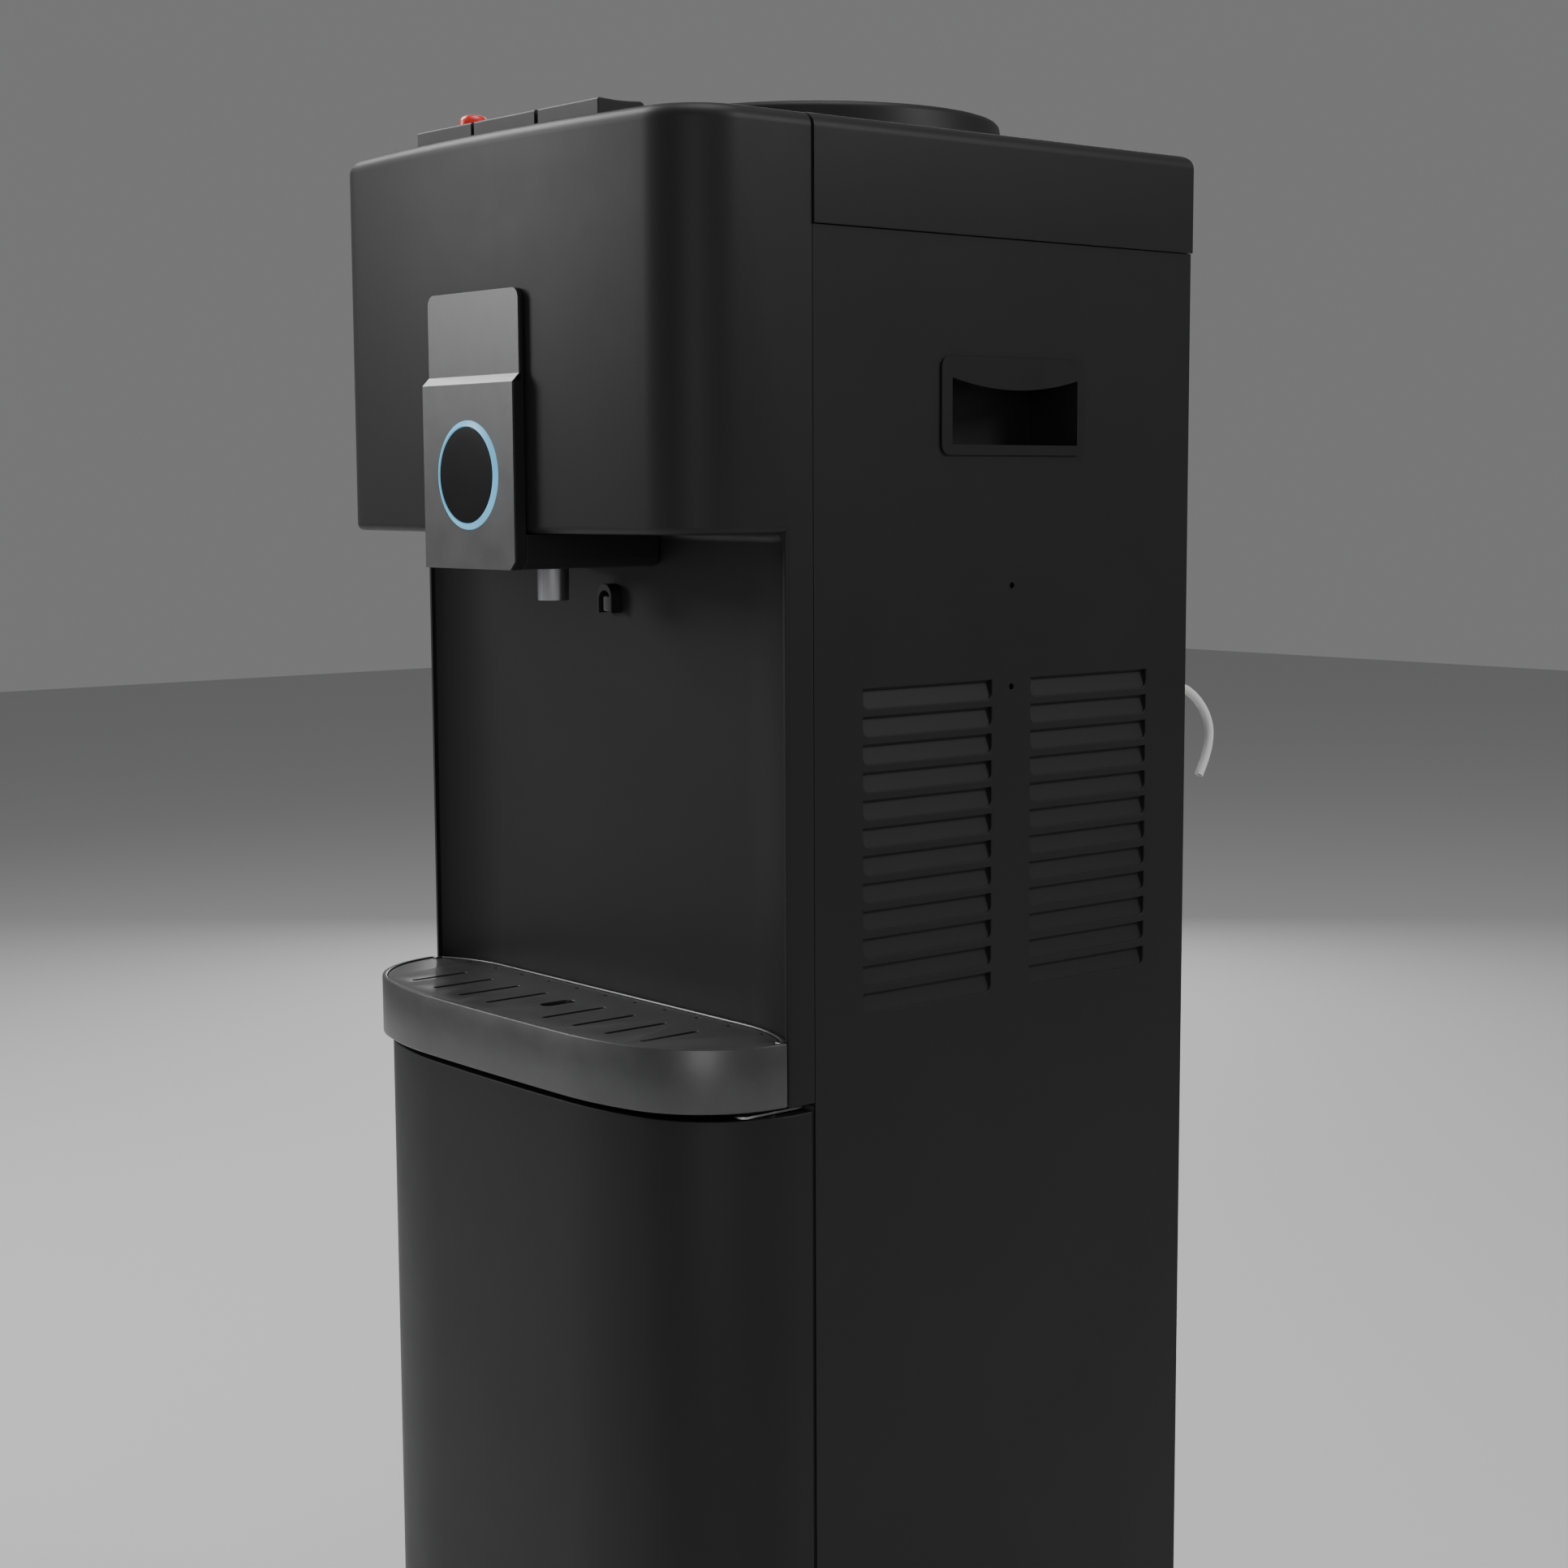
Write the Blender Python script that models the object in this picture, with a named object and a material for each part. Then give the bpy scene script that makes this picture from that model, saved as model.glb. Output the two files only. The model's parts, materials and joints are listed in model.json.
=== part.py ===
"""Floor-standing water dispenser with a bottle collar on top, a cup niche and a storage door.

Modelled in the machine's own space: X is centred, Y = 0 is the seam between the front mouldings
and the side panels, the front faces -Y, and Z = 0 is the floor. The empty "machine" moves that
space so that the origin is the middle of the footprint.
"""
import math

import bmesh
import bpy
from mathutils import Matrix, Vector

MM = 0.001

# Overall sizes
BODY_WIDTH = 310 * MM
BODY_DEPTH = 263 * MM           # seam to the back edge of the side panels
BODY_HEIGHT = 980 * MM          # floor to the flat top

# Heights of the zones, from the top down
HEAD_HEIGHT = 193.5 * MM
NICHE_HEIGHT = 240.5 * MM
TRAY_HEIGHT = 31.5 * MM
DOOR_TOP_GAP = 4 * MM
COVER_HEIGHT = 50.5 * MM
DOOR_BOTTOM = 32 * MM
BASE_BOTTOM = 14 * MM
BASE_TOP = 28 * MM

# Sheets, walls and clearances
SHEET = 1.2 * MM
DECK_SHEET = 1.6 * MM
WALL = 2.5 * MM
TOUCH = 0.3 * MM                # gap between pieces that rest on each other
RUN = 0.5 * MM                  # gap round pieces that move
SEAM_HALF = 0.2 * MM            # front mouldings and rear panels each stop this short of the seam
OVERHANG = 1.3 * MM             # top cover and handle bezels beyond the side panels
THROUGH = 5 * MM                # how far a cutter passes the wall it cuts
BITE = 0.6 * MM                 # overlap of shapes that are united

# Bowed front outlines: how far each stands in front of the seam, then the radii of the front, of the
# shoulder and of the corner.
HEAD_REACH, HEAD_RADII = 83 * MM, (1000 * MM, 1000 * MM, 35 * MM)
DOOR_REACH, DOOR_RADII = 79.8 * MM, (1500 * MM, 190 * MM, 64 * MM)
TRAY_REACH, TRAY_RADII = 84 * MM, (3000 * MM, 190 * MM, 62 * MM)
SHOULDER_WIDTH = 93 * MM         # each shoulder and corner, measured across from the side
BASE_INSET = 3 * MM             # the base pan stands behind the door's outline
DECK_INSET = 14 * MM            # the deck stands behind the tray's outline
TOP_FILLET = 7.2 * MM
EDGE_FILLET = 2.5 * MM
DOOR_FILLET = 1.2 * MM
DOOR_TOP_FILLET = 0.6 * MM
COVER_CORNER_R = 2 * MM

# Cup niche
NICHE_END = 48 * MM             # width of each concave end
NICHE_R = 87 * MM               # concave ends
NICHE_WALL_Y = -1.7 * MM
FLANGE_Y = -16.3 * MM
FLANGE_LIP = 3 * MM
FLANGE_NOSE_R = 2 * MM
MOUTH_CORNER_R = 6.5 * MM       # upper corners of the opening in front of the niche
MOUTH_CORNER = 1.7 * MM         # their thickness

# Front plate, spout housing and spout
PLATE_HALF = 39.75 * MM
PLATE_TOP_DROP = 76.5 * MM      # top edge below the flat top
PLATE_STEP_DROP = 117 * MM
PLATE_STEP_RISE = 4 * MM
PLATE_UPPER_Y = -86 * MM
PLATE_LOWER_Y = -90 * MM
PLATE_CORNER_R = 5 * MM
PLATE_CHAMFER = 4 * MM          # lower corners
HOUSING_DROP = 17.5 * MM        # how far the housing hangs below the head
HOUSING_BACK_Y = -3 * MM
HOUSING_CHAMFER_X, HOUSING_CHAMFER_Z = 4 * MM, 4.5 * MM
RING_DROP = 165.2 * MM
RING_R = 26.6 * MM
RING_FACE_R = 25.4 * MM
RING_INNER_R = 23.8 * MM
RING_PROUD = 1.35 * MM          # ring and disc stand in front of the plate
SPOUT_R = 8 * MM
SPOUT_BORE_R = 5.4 * MM
SPOUT_BORE_DEPTH = 24 * MM
SPOUT_Y = -40 * MM
SPOUT_REACH = 17 * MM           # below the housing
SPOUT_TOP = 14 * MM             # above the housing's underside
MANIFOLD_HALF = 60 * MM
MANIFOLD_DEPTH = 16 * MM
MANIFOLD_BAR = 14 * MM

# Hooded lamp on the niche wall
HOOD_HALF = 6 * MM
HOOD_WALL = 1.3 * MM
HOOD_DROP = 220.5 * MM          # its top below the flat top
HOOD_HEIGHT = 15 * MM
HOOD_FRONT_Y = -8.5 * MM

# Keys and child lock
KEY_HALF_BLOCK = 78.5 * MM
KEY_SLIT_X = 27.6 * MM
KEY_SLIT = 2.6 * MM
KEY_FRONT_Y = -65.5 * MM
KEY_BACK_Y = -38 * MM
KEY_RISE = 9.2 * MM
KEY_THICKNESS = 14 * MM
KEY_CROWN = 3 * MM
KEY_STEM_R = 4.2 * MM
KEY_STEM_DROP = 42 * MM         # stem end below the flat top
VALVE_SIZE = 24 * MM
VALVE_HEIGHT = 45 * MM
VALVE_TOP_DROP = 35 * MM
VALVE_BORE_DEPTH = 16 * MM
LOCK_X, LOCK_Y = -50 * MM, -50 * MM
LOCK_R = 7.6 * MM
LOCK_RISE = 6.8 * MM            # above the key
LOCK_SHOULDER_X, LOCK_SHOULDER_Z = 3.5 * MM, 5.5 * MM
LOCK_SINK = 5 * MM              # below the key's top
LOCK_TRAVEL = 2.5 * MM

# Bottle collar and water path
COLLAR_R = 101.8 * MM
COLLAR_BASE_R = 104.7 * MM
COLLAR_RISE = 20 * MM
COLLAR_WALL = 3 * MM
COLLAR_EDGE_R = 4 * MM
COLLAR_FLAT = 2.6 * MM          # width of the rim the bottle stands on
FUNNEL_R = 94 * MM              # where it passes the cover
FUNNEL_DEPTH = 77 * MM
THROAT_R = 34 * MM
THROAT_DEPTH = 27 * MM
PROBE_R = 8 * MM
PROBE_HEIGHT = 64 * MM
TANK_R = 60 * MM
TANK_HEIGHT = 160 * MM
TANK_WALL = 1.5 * MM
TANK_TOP_DROP = 85 * MM
FOAM = 17.5 * MM
SPIGOT_R = 5 * MM
SPIGOT_DROP = 24 * MM           # below the tank's floor
BLOCK_SIZE = 40 * MM
BLOCK_LIFT = 30 * MM            # cold block above the tank's floor
PELTIER = 3.2 * MM
SINK_BASE = 6 * MM
SINK_WIDTH = 82 * MM
SINK_FINS = 12
SINK_FIN = 1.8 * MM
SINK_HEIGHT = 230 * MM
FAN_SIZE = 119 * MM
FAN_DEPTH = 25 * MM
FAN_TO_PANEL = 14 * MM          # fan's outer face to the outside of the side panel
FAN_BORE_R = 56.5 * MM
FAN_HUB_R = 20 * MM
FAN_BLADES = 7
HOT_TANK_X, HOT_TANK_Y = -85 * MM, 165 * MM
HOT_TANK_R = 45 * MM
HOT_TANK_HEIGHT = 142 * MM
BAND_HEIGHT = 40 * MM
BAND = 2.6 * MM
TUBE_R = 4 * MM
TUBE_CLEAR = 15 * MM            # hot tube's line outside the foam jacket
TUBE_END = 0.9 * MM             # gap between a tube's end and the port it meets
ROOM_PORT_DROP = 25 * MM        # below the tank's rim
COLD_PORT_DROP = 120 * MM

# Side panels
HANDLE_WIDTH = 99.7 * MM
HANDLE_HEIGHT = 47.5 * MM
HANDLE_TOP_DROP = 109 * MM
HANDLE_RIM = 5 * MM
HANDLE_SAG = 5.5 * MM
HANDLE_DEPTH = 36 * MM
HANDLE_CORNER_R = 5 * MM
LOUVRE_ROWS = 12
LOUVRE_PITCH = 13.5 * MM
LOUVRE_HEIGHT = 10 * MM
LOUVRE_LENGTH = 86.5 * MM
LOUVRE_GAP = 27.5 * MM          # between the two columns
LOUVRE_LIFT = 39.3 * MM         # lowest window above the deck
LOUVRE_RECESS = 5 * MM
SCREW_DROPS = (221.3 * MM, 272.1 * MM)
SCREW_R = 1.6 * MM

# Drip tray
TRAY_RIM = 2.5 * MM
TRAY_LEDGE = 5 * MM             # ledge below the rim
GRILLE = 4 * MM
GRILLE_PITCH = 25.6 * MM
GRILLE_SLOTS = 9
GRILLE_SLOT = 3.2 * MM
GRILLE_SLOT_Y = (-68 * MM, -30 * MM)
GRILLE_FALL = 18 * MM           # how far the outer slots' front ends would fall back at the very side
GRILLE_HOLE_Y = (-51 * MM, -31 * MM)
GRILLE_HOLE = 8 * MM

# Door and storage
HINGE_X, HINGE_Y = 143.4 * MM, -35 * MM
HINGE_PIN_R = 2.5 * MM
HINGE_ARM_R = 5 * MM
HINGE_ARM = 1.4 * MM
HINGE_PIN_LENGTH = 10 * MM
DOOR_BACK_Y = -1.8 * MM
LINER_HALF = 146 * MM
LINER_BACK = 27 * MM            # liner's back wall in front of the back edge
LINER_WALL = 2 * MM
LINER_FRONT_Y = 0.8 * MM

# Base and feet
FOOT_R = 16 * MM
FOOT_X = 125 * MM
FOOT_FRONT_Y = -35 * MM
FOOT_FROM_BACK = 30 * MM

# Back panel fittings
SWITCH_X = -100 * MM
ROCKER_PITCH = 26 * MM
ROCKER_HALF_W = 6.2 * MM
ROCKER_HALF_L = 9 * MM
ROCKER_FACE = 4.2 * MM          # pivot to the face
ROCKER_TILT = 9                 # degrees each way from level
WELL_DEPTH = 13 * MM
SWITCH_HALF = 13 * MM
SWITCH_RIM = 3 * MM
INLET_HALF_X, INLET_HALF_Z = 13.5 * MM, 10 * MM
INLET_LIFT = 35.8 * MM          # above the deck
SWITCH_LIFT = 70 * MM           # above the inlet
FLANGE = 2 * MM
GLAND_X = 125 * MM
GLAND_DROP = 285 * MM
GLAND_R = 7 * MM
GLAND_REACH = 8 * MM
HOSE_R = 2.4 * MM

# Worked out from the sizes above
HALF = BODY_WIDTH / 2
INNER_HALF = HALF - SHEET - TOUCH
NICHE_FLAT_HALF = HALF - NICHE_END
SHOULDER_X = HALF - SHOULDER_WIDTH
HEAD_BOTTOM = BODY_HEIGHT - HEAD_HEIGHT
TRAY_TOP = HEAD_BOTTOM - NICHE_HEIGHT
TRAY_BOTTOM = TRAY_TOP - TRAY_HEIGHT
DOOR_TOP = TRAY_BOTTOM - DOOR_TOP_GAP
COVER_BOTTOM = BODY_HEIGHT - COVER_HEIGHT
DECK_TOP = TRAY_BOTTOM - TOUCH
DECK_BOTTOM = DECK_TOP - DECK_SHEET
INLET_Z = DECK_TOP + INLET_LIFT
SWITCH_Z = INLET_Z + SWITCH_LIFT
HOUSING_BOTTOM = HEAD_BOTTOM - HOUSING_DROP
PLATE_BACK_Y = -HEAD_REACH - TOUCH
MID_Y = BODY_DEPTH / 2
PANEL_BACK_Y = BODY_DEPTH
PANEL_INNER_Y = BODY_DEPTH - SHEET
TANK_TOP = BODY_HEIGHT - TANK_TOP_DROP
TANK_FLOOR = TANK_TOP - TANK_HEIGHT
BLOCK_OUTER_X = TANK_R + RUN + FOAM + 2 * MM
SINK_X = BLOCK_OUTER_X + TOUCH + PELTIER + TOUCH
FAN_X = HALF - FAN_TO_PANEL - FAN_DEPTH
FAN_Z = DECK_TOP + TOUCH + FAN_SIZE / 2 + 55 * MM
HANDLE_Z = BODY_HEIGHT - HANDLE_TOP_DROP - HANDLE_HEIGHT / 2
FRONT_MOST = PLATE_LOWER_Y - RING_PROUD
BACK_MOST = BODY_DEPTH + GLAND_REACH
SEAM_Y = -(FRONT_MOST + BACK_MOST) / 2

CORNER_STEPS = 6
SHOULDER_STEPS = 3
FRONT_STEPS = 6
ROUND = 28
SMALL_ROUND = 16


# --- Building blocks -------------------------------------------------------------------------

def clear_scene():
    for item in list(bpy.data.objects):
        bpy.data.objects.remove(item, do_unlink=True)


def material(name, colour, roughness, metallic=0.0):
    made = bpy.data.materials.new(name)
    made.use_nodes = True
    shader = made.node_tree.nodes["Principled BSDF"]
    shader.inputs["Base Color"].default_value = (*colour, 1.0)
    shader.inputs["Roughness"].default_value = roughness
    shader.inputs["Metallic"].default_value = metallic
    return made


def empty(name, place, parent=None):
    marker = bpy.data.objects.new(name, None)
    marker.location = place
    marker.parent = parent
    bpy.context.collection.objects.link(marker)
    return marker


def make_object(name, bm, finish, pivot):
    """Turn a mesh in machine space into an object whose origin is its pivot."""
    bmesh.ops.recalc_face_normals(bm, faces=bm.faces)
    if pivot is not MACHINE:
        bm.transform(Matrix.Translation(-pivot.location))
    mesh = bpy.data.meshes.new(name)
    bm.to_mesh(mesh)
    bm.free()
    mesh.shade_smooth()
    mesh.set_sharp_from_angle(angle=math.radians(35))
    mesh.materials.append(finish)
    made = bpy.data.objects.new(name, mesh)
    made.parent = pivot
    bpy.context.collection.objects.link(made)
    return made


def combine(target, bm, operation):
    """Cut bm out of the target, or unite it with the target, as a live Boolean."""
    guide = make_object(f"{target.name}_{operation.lower()}", bm, target.data.materials[0], MACHINE)
    guide.hide_render = True
    guide.display_type = "WIRE"
    boolean = target.modifiers.new(operation.title(), "BOOLEAN")
    boolean.operation = operation
    boolean.solver = "EXACT"
    boolean.object = guide


def cut(target, *shapes):
    combine(target, joined(shapes), "DIFFERENCE")


def unite(target, *shapes):
    for shape in shapes:
        combine(target, shape, "UNION")


def joined(shapes):
    """Several separate closed shapes in one mesh."""
    whole = bmesh.new()
    for shape in shapes:
        mesh = bpy.data.meshes.new("shape")
        bmesh.ops.recalc_face_normals(shape, faces=shape.faces)
        shape.to_mesh(mesh)
        shape.free()
        whole.from_mesh(mesh)
        bpy.data.meshes.remove(mesh)
    return whole


def loft(loops, ring=False):
    """Skin loops that have the same number of points; the ends are capped, or joined as a ring."""
    bm = bmesh.new()
    rows = [[bm.verts.new(point) for point in loop] for loop in loops]
    pairs = list(zip(rows, rows[1:]))
    if ring:
        pairs.append((rows[-1], rows[0]))
    for low, high in pairs:
        for i in range(len(low)):
            j = (i + 1) % len(low)
            bm.faces.new((low[i], low[j], high[j], high[i]))
    if not ring:
        bm.faces.new(rows[0])
        bm.faces.new(rows[-1])
    return bm


AXIS_PLACE = {
    "Z": lambda u, v, w: (u, v, w),
    "X": lambda u, v, w: (w, u, v),
    "Y": lambda u, v, w: (u, w, v),
}


def prism(outline, low, high, axis="Z"):
    """An outline (x,y on Z; y,z on X; x,z on Y) extruded from low to high."""
    place = AXIS_PLACE[axis]
    return loft([[place(u, v, w) for u, v in outline] for w in (low, high)])


def box(x0, x1, y0, y1, z0, z1):
    return prism([(x0, y0), (x1, y0), (x1, y1), (x0, y1)], z0, z1)


def arc(u, v, radius, start, end, steps):
    """Points on an arc, with angles in degrees."""
    angles = [math.radians(start + (end - start) * i / steps) for i in range(steps + 1)]
    return [(u + radius * math.cos(a), v + radius * math.sin(a)) for a in angles]


def circle(u, v, radius, steps=SMALL_ROUND):
    return arc(u, v, radius, 0, 360, steps)[:-1]


def rounded(u0, u1, v0, v1, radius, steps=3):
    """A rectangle with round corners."""
    corners = [(u1, v0, -90), (u1, v1, 0), (u0, v1, 90), (u0, v0, 180)]
    outline = []
    for u, v, start in corners:
        centre_u = u - radius if u == u1 else u + radius
        centre_v = v - radius if v == v1 else v + radius
        outline += arc(centre_u, centre_v, radius, start, start + 90, steps)
    return outline


def turned(profile, centre, axis="Z", steps=ROUND):
    """A closed profile of (radius, height) turned about an axis; it may touch the axis."""
    place = AXIS_PLACE[axis]
    base = Vector(centre)
    bm = bmesh.new()
    rings = []
    for radius, height in profile:
        if radius == 0:
            rings.append([bm.verts.new(base + Vector(place(0, 0, height)))] * steps)
            continue
        angles = [math.tau * i / steps for i in range(steps)]
        spots = [place(radius * math.cos(a), radius * math.sin(a), height) for a in angles]
        rings.append([bm.verts.new(base + Vector(spot)) for spot in spots])
    for low, high in zip(rings, rings[1:] + rings[:1]):
        for i in range(steps):
            j = (i + 1) % steps
            corners = list(dict.fromkeys((low[i], low[j], high[j], high[i])))
            if len(corners) > 2:
                bm.faces.new(corners)
    return bm


def smooth_route(points, spacing):
    """Evenly spaced points on one smooth curve through the route's own points."""
    points = [Vector(p) for p in points]
    padded = [2 * points[0] - points[1]] + points + [2 * points[-1] - points[-2]]
    fine = []
    for a, b, c, d in zip(padded, padded[1:], padded[2:], padded[3:]):
        for step in range(20):
            t = step / 20
            fine.append(0.5 * (2 * b + (c - a) * t + (2 * a - 5 * b + 4 * c - d) * t ** 2
                               + (3 * b - a - 3 * c + d) * t ** 3))
    fine.append(points[-1])
    lengths = [0.0]
    for a, b in zip(fine, fine[1:]):
        lengths.append(lengths[-1] + (b - a).length)
    count = max(4, round(lengths[-1] / spacing))
    route = []
    k = 0
    for i in range(count + 1):
        wanted = lengths[-1] * i / count
        while k < len(fine) - 2 and lengths[k + 1] < wanted:
            k += 1
        share = (wanted - lengths[k]) / (lengths[k + 1] - lengths[k])
        route.append(fine[k].lerp(fine[k + 1], share))
    return route


def tube(name, points, radius=None, finish=None, resolution=2):
    """A round tube with filled ends along a smooth route, a point every 2.4 diameters."""
    radius = radius or TUBE_R
    route = smooth_route(points, 4.8 * radius)
    curve = bpy.data.curves.new(name, "CURVE")
    curve.dimensions = "3D"
    spline = curve.splines.new("POLY")
    spline.points.add(len(route) - 1)
    for point, place in zip(spline.points, route):
        point.co = (*place, 1)
    curve.bevel_depth = radius
    curve.bevel_resolution = resolution
    curve.use_fill_caps = True
    curve.materials.append(finish or SILICONE)
    made = bpy.data.objects.new(name, curve)
    made.parent = MACHINE
    bpy.context.collection.objects.link(made)
    return made


# --- Outlines --------------------------------------------------------------------------------

def bowed(reach, radii, inset, back_y):
    """Bowed front with shoulders and round corners, from the left back end to the right back end."""
    front_r, shoulder_r, corner_r = radii
    lean = math.asin(SHOULDER_X / front_r)
    front_y = front_r - reach
    turn_x = (front_r - shoulder_r) * math.sin(lean)
    turn_y = front_y - (front_r - shoulder_r) * math.cos(lean)
    corner_x = HALF - corner_r
    swing = math.asin((corner_x - turn_x) / (shoulder_r - corner_r))
    corner_y = turn_y - (shoulder_r - corner_r) * math.cos(swing)
    lean, swing = math.degrees(lean), math.degrees(swing)
    end = 0.0
    if back_y < corner_y:
        end = math.degrees(math.asin((back_y - corner_y) / (corner_r - inset)))
    right = arc(turn_x, turn_y, shoulder_r - inset, lean - 90, swing - 90, SHOULDER_STEPS)
    right += arc(corner_x, corner_y, corner_r - inset, swing - 90, end, CORNER_STEPS)[1:]
    if back_y > corner_y:
        right.append((HALF - inset, back_y))
    front = arc(0, front_y, front_r - inset, -90 - lean, -90 + lean, FRONT_STEPS)
    return mirrored(right) + front[1:-1] + right


def head_outline(inset, back_y):
    return bowed(HEAD_REACH, HEAD_RADII, inset, back_y)


def door_outline(inset, back_y):
    return bowed(DOOR_REACH, DOOR_RADII, inset, back_y)


def niche_curve(gap, end_x, steps=CORNER_STEPS):
    """Right concave end of the niche, from its outer end in to the flat back wall."""
    radius = NICHE_R - gap
    centre_y = NICHE_WALL_Y - NICHE_R
    start = math.degrees(math.acos((end_x - NICHE_FLAT_HALF) / radius))
    return arc(NICHE_FLAT_HALF, centre_y, radius, start, 90, steps)


def mirrored(right):
    return [(-x, y) for x, y in reversed(right)]


def tray_outline(inset):
    """Bowed front with a back that follows the niche."""
    side_y = FLANGE_Y - 1.2 * MM - inset
    front = bowed(TRAY_REACH, TRAY_RADII, inset, side_y)
    end_x = HALF - FLANGE_LIP - RUN - inset
    right_back = [(end_x, side_y)] + niche_curve(RUN + inset, end_x)
    return front + right_back + mirrored(right_back)


def deck_outline():
    """Machine deck: behind the tray's front in front, between the side panels behind."""
    front = bowed(TRAY_REACH, TRAY_RADII, DECK_INSET, RUN)
    back_y = PANEL_INNER_Y - TOUCH
    return front + [(INNER_HALF, RUN), (INNER_HALF, back_y), (-INNER_HALF, back_y), (-INNER_HALF, RUN)]


def cover_outline(inset):
    """Rear body outline with small round back corners."""
    half = HALF + OVERHANG - inset
    back_y = BODY_DEPTH + OVERHANG - inset
    radius = max(COVER_CORNER_R - inset, COVER_CORNER_R / 8)
    right = arc(half - radius, back_y - radius, radius, 0, 90, 4)
    return [(-half, SEAM_HALF), (half, SEAM_HALF)] + right + mirrored(right)


def layered(outline_of, levels):
    """Stack insets of an outline: levels are (inset, height)."""
    return loft([[(x, y, z) for x, y in outline_of(inset)] for inset, z in levels])


def fillet_levels(radius, height, upward, steps=3):
    """(inset, height) levels of a round edge, the flat face being at height."""
    angles = [math.pi / 2 * i / steps for i in range(steps + 1)]
    sign = 1 if upward else -1
    levels = [(radius * (1 - math.cos(a)), height - sign * radius * (1 - math.sin(a))) for a in angles]
    return levels if upward else levels[::-1]


# --- Cabinet ---------------------------------------------------------------------------------

def base_pan():
    def outline(inset):
        front = door_outline(BASE_INSET + inset, -RUN)
        back_y = PANEL_INNER_Y - TOUCH - inset
        return front + [(INNER_HALF - inset, back_y), (inset - INNER_HALF, back_y)]

    levels = [(WALL, BASE_TOP - WALL), (WALL, BASE_BOTTOM), (0, BASE_BOTTOM), (0, BASE_TOP)]
    make_object("base_pan", layered(outline, levels), BLACK_PLASTIC, MACHINE)


def feet():
    top = BASE_TOP - WALL - TOUCH
    profile = [(0, 0), (FOOT_R - 2 * MM, 0), (FOOT_R, 2 * MM), (FOOT_R, 10 * MM), (FOOT_R * 0.7, 11 * MM),
               (FOOT_R * 0.7, top), (0, top)]
    for side_name, side in (("left", -1), ("right", 1)):
        for end_name, y in (("front", FOOT_FRONT_Y), ("back", BODY_DEPTH - FOOT_FROM_BACK)):
            shape = turned(profile, (side * FOOT_X, y, 0), steps=20)
            make_object(f"foot_{end_name}_{side_name}", shape, RUBBER, MACHINE)


def louvre_windows():
    """(y0, y1, z0, z1) of each louvre window."""
    for row in range(LOUVRE_ROWS):
        z1 = DECK_TOP + LOUVRE_LIFT + LOUVRE_HEIGHT + row * LOUVRE_PITCH
        for start in (MID_Y - LOUVRE_GAP / 2 - LOUVRE_LENGTH, MID_Y + LOUVRE_GAP / 2):
            yield start, start + LOUVRE_LENGTH, z1 - LOUVRE_HEIGHT, z1


def handle_box(margin):
    """(y0, y1, z0, z1) of the handle bezel, grown or shrunk by a margin."""
    return (MID_Y - HANDLE_WIDTH / 2 - margin, MID_Y + HANDLE_WIDTH / 2 + margin,
            HANDLE_Z - HANDLE_HEIGHT / 2 - margin, HANDLE_Z + HANDLE_HEIGHT / 2 + margin)


def side_panel(name, side):
    """Sheet with a handle hole, screw holes and louvres whose blades lean in towards the top."""
    inner, outer = side * (HALF - SHEET), side * HALF
    y0, y1, z0, z1 = SEAM_HALF, PANEL_BACK_Y, BASE_BOTTOM + RUN, COVER_BOTTOM - TOUCH
    panel = make_object(name, prism([(y0, z0), (y1, z0), (y1, z1), (y0, z1)], inner, outer, "X"),
                        BLACK_PLASTIC, MACHINE)
    far_in, far_out = inner - side * THROUGH, outer + side * THROUGH
    holes = []
    for y0, y1, z0, z1 in louvre_windows():
        holes.append(prism([(y0, z0), (y1, z0), (y1, z1), (y0, z1)], far_in, far_out, "X"))
    y0, y1, z0, z1 = handle_box(-HANDLE_RIM / 2 + RUN)
    holes.append(prism(rounded(y0, y1, z0, z1, HANDLE_CORNER_R / 2), far_in, far_out, "X"))
    for drop in SCREW_DROPS:
        holes.append(prism(circle(MID_Y, BODY_HEIGHT - drop, SCREW_R, 10), far_in, far_out, "X"))
    cut(panel, *holes)

    blade = SHEET * 0.8
    foot_x, head_x = HALF - 0.3 * MM, HALF - LOUVRE_RECESS
    blades = []
    for y0, y1, z0, z1 in louvre_windows():
        profile = [(foot_x, z0 - BITE), (foot_x, z0 + BITE / 2), (head_x, z1), (head_x - blade, z1),
                   (foot_x - blade, z0 - BITE)]
        blades.append(prism([(side * x, z) for x, z in profile], y0 - BITE, y1 + BITE, "Y"))
    unite(panel, joined(blades))


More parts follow.
